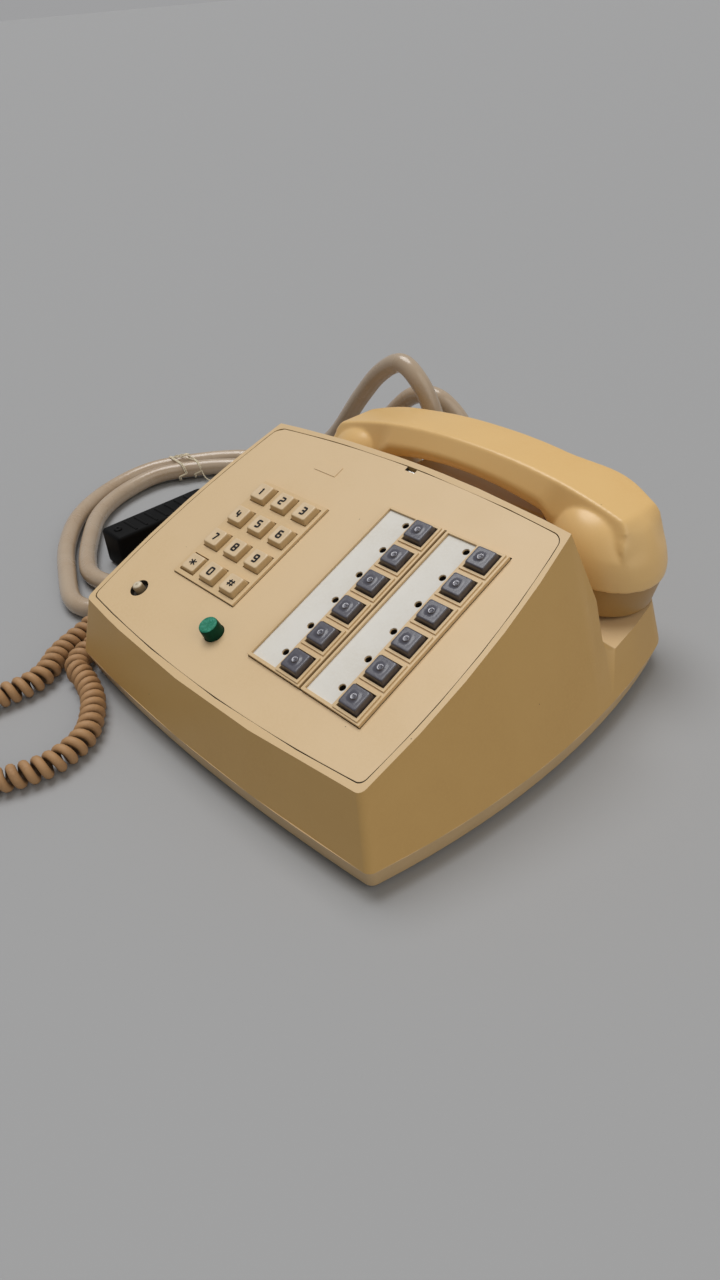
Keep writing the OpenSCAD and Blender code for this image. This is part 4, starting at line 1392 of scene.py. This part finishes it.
def ring_stack(name: str, rings: list[Triple], place: Matrix) -> bpy.types.Mesh:
    """A closed form from a stack of rounded squares, in millimetres, set in its place.

    Args:
        name: the mesh's name.
        rings: width, corner radius and height of each, from the bottom round to the middle.
        place: where the form goes, in metres.

    Returns:
        The mesh.
    """
    points = [p for ring in rings for p in soft_ring(*ring)]
    mesh = mesh_from(name, np.array(points) * MM, ring_faces(len(rings), RING_POINTS, True))
    mesh.transform(place)
    return mesh


class Mark(Enum):
    """The generic signs on the dial keys, as strokes on a grid of -1 to 1 both ways."""

    ONE = (((-0.35, 0.55), (0.05, 1), (0.05, -1)),)
    TWO = (((-1, 1), (1, 1), (1, 0.02), (-1, -0.02), (-1, -1), (1, -1)),)
    THREE = (((-1, 1), (1, 1), (1, -1), (-1, -1)), ((-0.6, 0), (0.9, 0)))
    FOUR = (((-1, 1), (-1, -0.2), (1, -0.2)), ((0.5, 0.65), (0.5, -1)))
    FIVE = (((1, 1), (-1, 1), (-1, 0.08), (1, 0.08), (1, -1), (-1, -1)),)
    SIX = (((0.9, 1), (-1, 1), (-1, -1), (1, -1), (1, 0.05), (-0.9, 0.05)),)
    SEVEN = (((-1, 1), (1, 1), (-0.1, -1)),)
    EIGHT = (((0, 1), (1, 1), (1, -1), (-1, -1), (-1, 1), (0, 1)), ((-0.9, 0), (0.9, 0)))
    NINE = (((0.9, -0.05), (-1, -0.05), (-1, 1), (1, 1), (1, -1), (-0.9, -1)),)
    STAR = (((0, 0.9), (0, -0.9)), ((-1, 0.5), (1, -0.5)), ((-1, -0.5), (1, 0.5)))
    ZERO = (((0, 1), (1, 1), (1, -1), (-1, -1), (-1, 1), (0, 1)),)
    HASH = (((-0.35, 0.9), (-0.6, -0.9)), ((0.6, 0.9), (0.35, -0.9)),
            ((-1, 0.38), (1, 0.38)), ((-1, -0.38), (1, -0.38)))


DIAL = (("1", Mark.ONE), ("2", Mark.TWO), ("3", Mark.THREE), ("4", Mark.FOUR),
        ("5", Mark.FIVE), ("6", Mark.SIX), ("7", Mark.SEVEN), ("8", Mark.EIGHT),
        ("9", Mark.NINE), ("star", Mark.STAR), ("0", Mark.ZERO), ("hash", Mark.HASH))


@dataclass
class Stroke:
    """A flat inked line with rounded corners."""

    width: float = 0.95
    corner: float = 0.6
    thick: float = 0.05

    def add(self, work: bmesh.types.BMesh, points: np.ndarray, height: float,
            place: Matrix) -> None:
        """Lay one stroke.

        Args:
            work: the mesh that takes it.
            points: the stroke's points, in millimetres.
            height: the height it lies at.
            place: where the sign goes, in metres.
        """
        line = rounded_line(points, [self.corner] * len(points))
        ahead = headings(line)
        side = np.column_stack([-ahead[:, 1], ahead[:, 0]]) * self.width / 2
        rows = []
        for level in (height - self.thick, height):
            for edge in (line + side, line - side):
                rows.append([work.verts.new(place @ (Vector((x, y, level)) * MM))
                             for x, y in edge])
        low_l, low_r, top_l, top_r = rows
        for i in range(len(line) - 1):
            for a, b in ((top_r, top_l), (top_l, low_l), (low_r, top_r)):
                work.faces.new((a[i], a[i + 1], b[i + 1], b[i]))
        for i in (0, -1):
            corner = (top_l[i], top_r[i], low_r[i], low_l[i])
            work.faces.new(corner if i else corner[::-1])


@dataclass
class DialKeys:
    """The twelve dial keys with their signs."""

    middle: Pair = (-42.6, 66.8)
    pitch: Pair = (15.9, 16.3)
    top_width: float = 9.4
    foot_width: float = 10.7
    height: float = 4.2
    bezel: float = 1.2
    panel: float = 2.6
    star_sink: float = 1.6
    sign: Pair = (3.3, 4.8)
    figure: Pair = (4.6, 4.6)
    layer: float = 0.004

    def key(self, index: int) -> bpy.types.Object:
        """Make one key.

        Args:
            index: its place in DIAL, in rows from the top left.

        Returns:
            The key, with its sign joined to it.
        """
        name, mark = DIAL[index]
        column, row = index % 3, index // 3
        sink = self.star_sink if mark is Mark.STAR else 0.0
        place = FACE.matrix(self.middle[0] + (column - 1) * self.pitch[0],
                            self.middle[1] + (1.5 - row) * self.pitch[1], self.height - sink)
        rise = self.height - self.bezel
        w, f = self.top_width, self.foot_width
        rings = [(4.0, 0.2, -rise - self.panel - 3.5), (4.0, 0.2, -rise - self.panel),
                 (f, 1.0, -rise - self.panel), (f, 1.0, -rise), (f - 0.25, 1.0, -rise + 0.5),
                 (w + 0.25, 1.05, -0.75), (w - 0.05, 1.1, -0.32), (w - 0.45, 1.15, -0.09),
                 (w - 1.1, 1.2, 0.0), (w - 2.2, 1.2, -0.05), (w - 4.6, 1.2, -0.14),
                 (w - 7.6, 0.8, -0.17)]
        mesh = ring_stack(f"key_{name}", rings, place)
        made = place_object(f"key_{name}", mesh, KEYS, INK)
        smooth_by_angle(mesh, 50.0)
        fine = mark in (Mark.STAR, Mark.HASH)
        stroke = Stroke(width=0.66) if fine else Stroke()
        half = (np.array(self.figure if fine else self.sign) - stroke.width) / 2
        sign = bpy.data.meshes.new("sign")
        with editing(sign) as work:
            for i, points in enumerate(mark.value):
                stroke.add(work, np.array(points, float) * half, self.layer * i, place)
            bmesh.ops.recalc_face_normals(work, faces=work.faces)
        with editing(mesh) as work:
            first = len(work.faces)
            work.from_mesh(sign)
            work.faces.ensure_lookup_table()
            for face in work.faces[first:]:
                face.material_index = 1
                face.smooth = False
        bpy.data.meshes.remove(sign)
        return made

    def build(self) -> None:
        """Make all the keys."""
        for index, (name, _) in enumerate(DIAL):
            finish_piece(self.key(index), f"dial_key_{name}", KEYS, f"dial_key_{name}")


@dataclass
class LineKeys:
    """The two columns of smoky line keys, each with a lens over its lamp."""

    columns: Pair = (26.8, 62.3)
    middle: float = 66.65
    rows: int = 6
    frame_length: float = 94.1
    offset: float = 8.7
    width: float = 11.2
    top: float = 9.6
    height: float = 5.0
    panel: float = 2.6

    def key(self, name: str, side: int, row: int) -> bpy.types.Object:
        """Make one key.

        Args:
            name: the key's name.
            side: 0 for the left column, 1 for the right.
            row: 0 for the farthest row.

        Returns:
            The key.
        """
        pitch = (self.frame_length - 0.2) / self.rows
        place = FACE.matrix(self.columns[side] + self.offset,
                            self.middle + ((self.rows - 1) / 2 - row) * pitch, self.height)
        w, t, h = self.width, self.top, self.height
        low = -h - self.panel
        rings = [(4.0, 0.2, low - 3.5), (4.0, 0.2, low), (w, 0.5, low), (w, 0.5, -h),
                 (t + 0.35, 0.7, -1.0), (t + 0.12, 0.8, -0.45), (t - 0.2, 0.9, -0.14),
                 (t - 0.7, 1.0, -0.02), (t - 1.4, 1.0, 0.0), (6.4, 2.4, -0.05), (3.4, 1.7, -0.05),
                 (3.1, 1.55, 0.15), (2.8, 1.4, 0.42), (2.5, 1.25, 0.5), (1.9, 0.95, 0.42),
                 (1.4, 0.7, 0.18), (0.9, 0.45, 0.1), (0.4, 0.2, 0.1)]
        mesh = ring_stack(name, rings, place)
        made = place_object(f"cap_{name}", mesh, SMOKE, GLINT)
        back = place.inverted()
        for face in mesh.polygons:
            u, v, rise = (back @ face.center) / MM
            lens = rise > 0.3 and math.hypot(u, v) > 0.6
            # The pale C on each lens is a painted highlight.
            face.material_index = int(lens and (u < 0.35 or v > 0.8))
        smooth_by_angle(mesh, 55.0)
        return made

    def build(self) -> None:
        """Make all the keys."""
        for side in range(2):
            for row in range(self.rows):
                node = f"line_key_{('left', 'right')[side]}_{row + 1}"
                finish_piece(self.key(node, side, row), node, SMOKE, node)


@dataclass
class RoundButtons:
    """The green button and the bare stem of the button that is missing."""

    green: Pair = (-15.6, 19.5)
    spare: Pair = (-76.1, 17.8)
    panel: float = 2.6

    def button(self, names: tuple[str, str], spot: Pair, rows: list[Pair], count: int,
               finishes: tuple[Finish, Finish], other: Pair) -> None:
        """Make one of them.

        Args:
            names: the piece's name, and that of the CAD node and its body.
            spot: its place in the key face.
            rows: radius and height of each row of its form.
            count: how many steps round.
            finishes: its main finish and its other one.
            other: the heights between which its faces have the other finish.
        """
        name, node = names
        mesh = revolve(name, rows, count)
        mesh.transform(FACE.matrix(*spot))
        made = place_object(name, mesh, *finishes)
        normal, origin = FACE.way(0, 0, 1), FACE.point(*spot)
        for face in mesh.polygons:
            rise = (face.center - origin).dot(normal)
            face.material_index = int(other[0] * MM < rise < other[1] * MM)
        smooth_by_angle(mesh, 50.0)
        finish_piece(made, node, finishes[0], node)

    def build(self) -> None:
        """Make both."""
        p = -self.panel
        rows = [(0, p - 4), (1.8, p - 4), (1.8, p), (4.75, p), (4.75, 0.6), (4.72, 2.0),
                (4.65, 4.4), (4.55, 5.6), (4.42, 6.05), (4.2, 6.3), (3.8, 6.4), (2.8, 6.32),
                (1.2, 6.2), (0, 6.18)]
        self.button(("button_green", "green_button"), self.green, rows, 56,
                    (GREEN, GREEN_LIT_TOP), (6.1, math.inf))
        rows = [(0, p - 4), (1.8, p - 4), (1.8, p - 2.4), (4.6, p - 2.4), (4.6, p), (2.7, p),
                (2.6, p + 0.3), (2.6, 1.5), (2.42, 2.1), (2.0, 2.45), (1.3, 2.6), (0.6, 2.56),
                (0.5, 2.3), (0, 2.3)]
        # The stem's faces deep in its hole take painted shade.
        self.button(("stem_spare", "spare_stem"), self.spare, rows, 48,
                    (STEM, GAP_SHADE), (-math.inf, -0.8))


# ---------------------------------------------------------------- handset


@dataclass
class Handset:
    """The handset: a handle that flows into two domed cups, with their caps."""

    cup: Triple = (78.3, 80.6, 56.228)
    tilt: float = 10.0
    radius: float = 27.4
    dome: float = 29.0
    dome_lean: float = 6.0
    middle_y: float = 83.3
    end_y: float = 81.8
    top: float = 96.528
    width: float = 38.0
    flat_share: float = 0.67
    side_lean: float = 0.46
    thick: float = 16.0
    half: float = 106.2
    end_sink: float = 3.0
    end_bow: float = 5.2
    rear_bow: float = 8.0
    end_bulge: float = 2.6
    rear_swell: float = 7.8
    shoulder: float = 92.0
    drop: float = 12.6
    end_drop: float = 22.0
    floor: float = 9.3
    soft: float = 0.35
    grain: float = 0.8
    blend_from: float = 92.0
    blend_heights: Pair = (57.5, 79.0)
    blend_back: float = 66.0
    blend_rounds: tuple[tuple[float | None, int], ...] = (
        (None, 2), (0.0, 20), (1.5, 25), (3.0, 30), (1.5, 5), (0.0, 3))

    def crest(self, a: float) -> float:
        """Height of the handle's long top at a distance from its middle."""
        return self.top - self.drop * (a / self.shoulder) ** 2.2

    def top_edge(self, a: float) -> float:
        """Find the height of the handle's top: long, then a soft edge, then a steep facet.

        Args:
            a: distance from the handle's middle.

        Returns:
            The height.
        """
        facet = self.top - self.drop - self.end_drop * (a - self.shoulder) / (
            self.half - self.shoulder)
        low, high = sorted((self.crest(a), facet))
        return low - self.soft * math.log1p(math.exp(-min((high - low) / self.soft, 60.0)))

    def under_edge(self, a: float) -> float:
        """Find the height of the handle's underside.

        Args:
            a: distance from the handle's middle.

        Returns:
            The height.
        """
        if a < 50:
            return self.top - self.thick - 6 * (a / 50) ** 2
        return max(self.cup[2] + self.floor, self.top - self.thick - 6 - 1.2 * (a - 50))

    def section(self, x: float) -> np.ndarray:
        """Make the ring of points round the handle at one place.

        Args:
            x: the place along the handle.

        Returns:
            The points in millimetres.
        """
        a = abs(x)
        share = min(1.0, a / self.shoulder) ** 2
        w = self.width / 2 * (1 - 0.05 * share)
        t = self.top_edge(a)
        b = min(self.under_edge(a), t - 3)
        flat = min(w - 0.8, self.flat_share * w + self.side_lean * (self.crest(a) - t))
        cheek = min(self.crest(a) - 0.6 * (self.crest(a) - b), t - 1.0)
        line = rounded_line(np.array([(0.0, t), (flat, t), (w, cheek), (0.86 * w, b + 1.6),
                                      (0.5 * w, b), (0.0, b)]), [1.3, 3.2, 4.0, 4.0], 6)
        ring = np.vstack([line, line[-2:0:-1] * [-1, 1]])
        end = min(1.0, max(0.0, (a - self.shoulder) / (self.half - self.end_sink - self.shoulder)))
        middle = self.middle_y + (self.end_y - self.middle_y) * share
        side = (ring[:, 0] / w) ** 2
        bulge = self.end_bulge * max(0.0, math.sin(math.pi * end)) ** 0.7
        bow = np.where(ring[:, 0] > 0, self.rear_bow, self.end_bow)
        out = bulge * (1 - side) - bow * end * side
        along = min(1.0, max(0.0, (a - 42) / 52)) ** 1.2
        swell = self.rear_swell * max(0.0, math.sin(math.pi * along)) ** 1.5
        swell *= 1.0 if x > 0 else 0.4
        across = np.where(ring[:, 0] > 0, ring[:, 0] * (1 + swell / w), ring[:, 0])
        return np.column_stack([x + math.copysign(1.0, x) * out, middle + across, ring[:, 1]])

    def cup_matrix(self, side: int) -> Matrix:
        """Placement, in metres, of a cup's own axis; side is 1 for the ear end."""
        x, y, z = self.cup
        return placed((side * x, y, z), side * self.tilt, "Y")

    def handle(self) -> bpy.types.Object:
        """The handle as a closed loft, with its ends tucked into the domes.

        Returns:
            The handle.
        """
        last = self.half - self.end_sink
        xs = np.concatenate([np.arange(0, self.shoulder - 3, 2.0),
                             np.arange(self.shoulder - 3, self.shoulder + 3, 0.3),
                             np.linspace(self.shoulder + 3, last, 8)])
        rings = [self.section(x) for x in np.concatenate([-xs[:0:-1], xs])]
        for index, side in ((0, -1), (-1, 1)):
            core = np.array([side * (last - 8), self.end_y, rings[index][:, 2].min() - 2])
            tucked = core + (rings[index] - core) * [0.4, 0.7, 0.4]
            rings = [tucked] + rings if side < 0 else rings + [tucked]
        faces = ring_faces(len(rings), len(rings[0]), True)
        return place_object("handle", mesh_from("handle", np.vstack(rings) * MM, faces))

    def cup_dome(self, side: int) -> bpy.types.Object:
        """One dome, with a softened rim at its open edge.

        Args:
            side: 1 for the ear end.

        Returns:
            The dome.
        """
        rows = [(0.0, 0.0), (self.radius - 0.7, 0.0), (self.radius - 0.25, 0.12),
                (self.radius - 0.05, 0.4)]
        for t in np.linspace(2, 90, 45):
            a = math.radians(t)
            rows.append((self.radius * max(0.0, math.cos(a)) ** 0.75,
                         self.dome * math.sin(a) ** 0.85))
        mesh = revolve("dome", rows, 128)
        for vert in mesh.vertices:
            rise = min(1.0, max(0.0, vert.co.z / (self.dome * MM)))
            outer = max(0.0, side * vert.co.x / (self.radius * MM))
            high = max(0.0, 2 * rise - 1)
            shift = self.dome_lean * rise ** 1.5 + 2.2 * outer * math.sin(math.pi * high)
            vert.co.x -= side * shift * MM
        mesh.transform(self.cup_matrix(side))
        tidy_mesh(mesh, 1e-6)
        return place_object("dome", mesh)

    def blend_ends(self, mesh: bpy.types.Mesh) -> None:
        """Soften every edge a little, and let the ends of both facets flow into the domes.

        Args:
            mesh: the shell, made of small even faces.
        """
        low, high = self.blend_heights
        with editing(mesh) as work:
            for inset, rounds in self.blend_rounds:
                near = [v for v in work.verts if inset is None
                        or abs(v.co.x) > (self.blend_from + inset) * MM
                        and (low + inset * 0.5) * MM < v.co.z < (high - inset) * MM
                        and v.co.y > (self.blend_back + inset) * MM]
                for _ in range(rounds):
                    bmesh.ops.smooth_vert(work, verts=near, factor=0.5, use_axis_x=True,
                                          use_axis_y=True, use_axis_z=True)

    def shell(self) -> bpy.types.Object:
        """Fuse the handle with both domes.

        Returns:
            The shell of the handset.
        """
        made = self.handle()
        for side in (-1, 1):
            dome = self.cup_dome(side)
            fuse = made.modifiers.new("fuse", "BOOLEAN")
            fuse.operation = "UNION"
            fuse.solver = "MANIFOLD"
            fuse.object = dome
            made = baked(made, "handset_body")
            bpy.data.objects.remove(dome, do_unlink=True)
        even = made.modifiers.new("even", "REMESH")
        even.mode = "VOXEL"
        even.voxel_size = self.grain * MM
        made = baked(made, "handset_body")
        self.blend_ends(made.data)
        dress(made.data, HANDSET)
        smooth_by_angle(made.data, 50.0)
        return made

    def build(self) -> None:
        """Make the handset."""
        finish_piece(self.shell(), "handset", HANDSET, "handset_shell")
        for node in ("ear_cap", "mouth_cap"):
            made = softened(node, Rounding(SHADED_CAPS, 0.35, sharp=38.0))
            finish_piece(made, "handset", SHADED_CAPS, node)


# ---------------------------------------------------------------- case and inside


@dataclass
class Case:
    """The case, its panel, the frames round the keys and what lies under them."""

    rounded: dict[str, Rounding] = field(default_factory=lambda: {
        "housing": Rounding(CASE, 0.8, sharp=40.0, flat=2.5, corner=4.6),
        "base_tray": Rounding(TRAY, 0.8),
        "face_panel": Rounding(PANEL, 0.3, corner=4.2),
        "dial_bezel": Rounding(FRAME, 0.3),
        "line_frame_left": Rounding(FRAME, 0.22, raised=0.9),
        "line_frame_right": Rounding(FRAME, 0.22, raised=0.9),
        "label_left": Rounding(PAPER, 0.08),
        "label_right": Rounding(PAPER, 0.08),
        "latch_clip": Rounding(STEEL, 0.15),
        "rubber_feet": Rounding(RUBBER, 0.5),
        "hook_plungers": Rounding(STEM, 0.5)})
    inside: dict[str, Finish] = field(default_factory=lambda: {
        "case_screws": STEEL, "dial_switch_board": BOARD, "line_switch_board": BOARD,
        "line_lamps": LAMP, "green_switch": BLACK, "spare_switch": BLACK, "hook_bar": STEEL,
        "hook_switch": BLACK, "main_board": BOARD, "ringer": BLACK,
        "receiver_capsule": CAN, "transmitter_capsule": CAN})

    frame_end: float = 112.9
    frame_inset: float = 0.5
    saddle: tuple[Pair, Pair] = ((60.0, 52.0), (104.0, 64.5))
    saddle_rise: float = 6.0
    saddle_side: float = 45.6

    def raise_top(self, piece: bpy.types.Object, by: float) -> None:
        """Lift what stands over the key face, and draw its far edge back from the gap.

        Args:
            piece: the piece.
            by: how far it is lifted.
        """
        back = FACE.matrix().inverted()
        for vert in piece.data.vertices:
            here = back @ vert.co
            if here.y > self.frame_end * MM:
                vert.co -= FACE.way(0, 1, 0) * self.frame_inset * MM
            if here.z > 0.5 * MM:
                vert.co += FACE.way(0, 0, 1) * by * MM

    def raise_saddle(self, piece: bpy.types.Object) -> None:
        """Bring the ridge between the cups close under the handle.

        Args:
            piece: the housing.
        """
        low, high = self.saddle
        for vert in piece.data.vertices:
            x, y, z = vert.co / MM
            if abs(x) < self.saddle_side and low[0] < y < high[0] and low[1] < z < high[1]:
                vert.co.z += self.saddle_rise * MM

    def build(self, owners: dict[str, str]) -> None:
        """Round and dress the case, and dress the inner parts.

        Args:
            owners: the CAD body of each node.
        """
        for node, how in self.rounded.items():
            made = softened(node, how)
            if how.raised:
                self.raise_top(made, how.raised)
            if node == "housing":
                self.raise_saddle(made)
            # The walls in the gaps of the panel and the frames take painted shade.
            if how.finish in (PANEL, FRAME):
                darken_gaps(made, 0.25 * MM)
            finish_piece(made, owners[node], how.finish, node)
        for node, finish in self.inside.items():
            dress(node_object(node).data, finish)
            LOG.info("%s: dressed", node)


def main() -> None:
    """Load the frame and build every piece over it."""
    logging.basicConfig(level=logging.INFO, format="%(message)s")
    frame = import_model()
    owners = {name: thing["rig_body"] for name, thing in frame["nodes"].items()}
    Studio().build()
    HandsetCord().build()
    LineCable().build()
    Case().build(owners)
    DialKeys().build()
    LineKeys().build()
    RoundButtons().build()
    Handset().build()


if __name__ == "__main__":
    main()
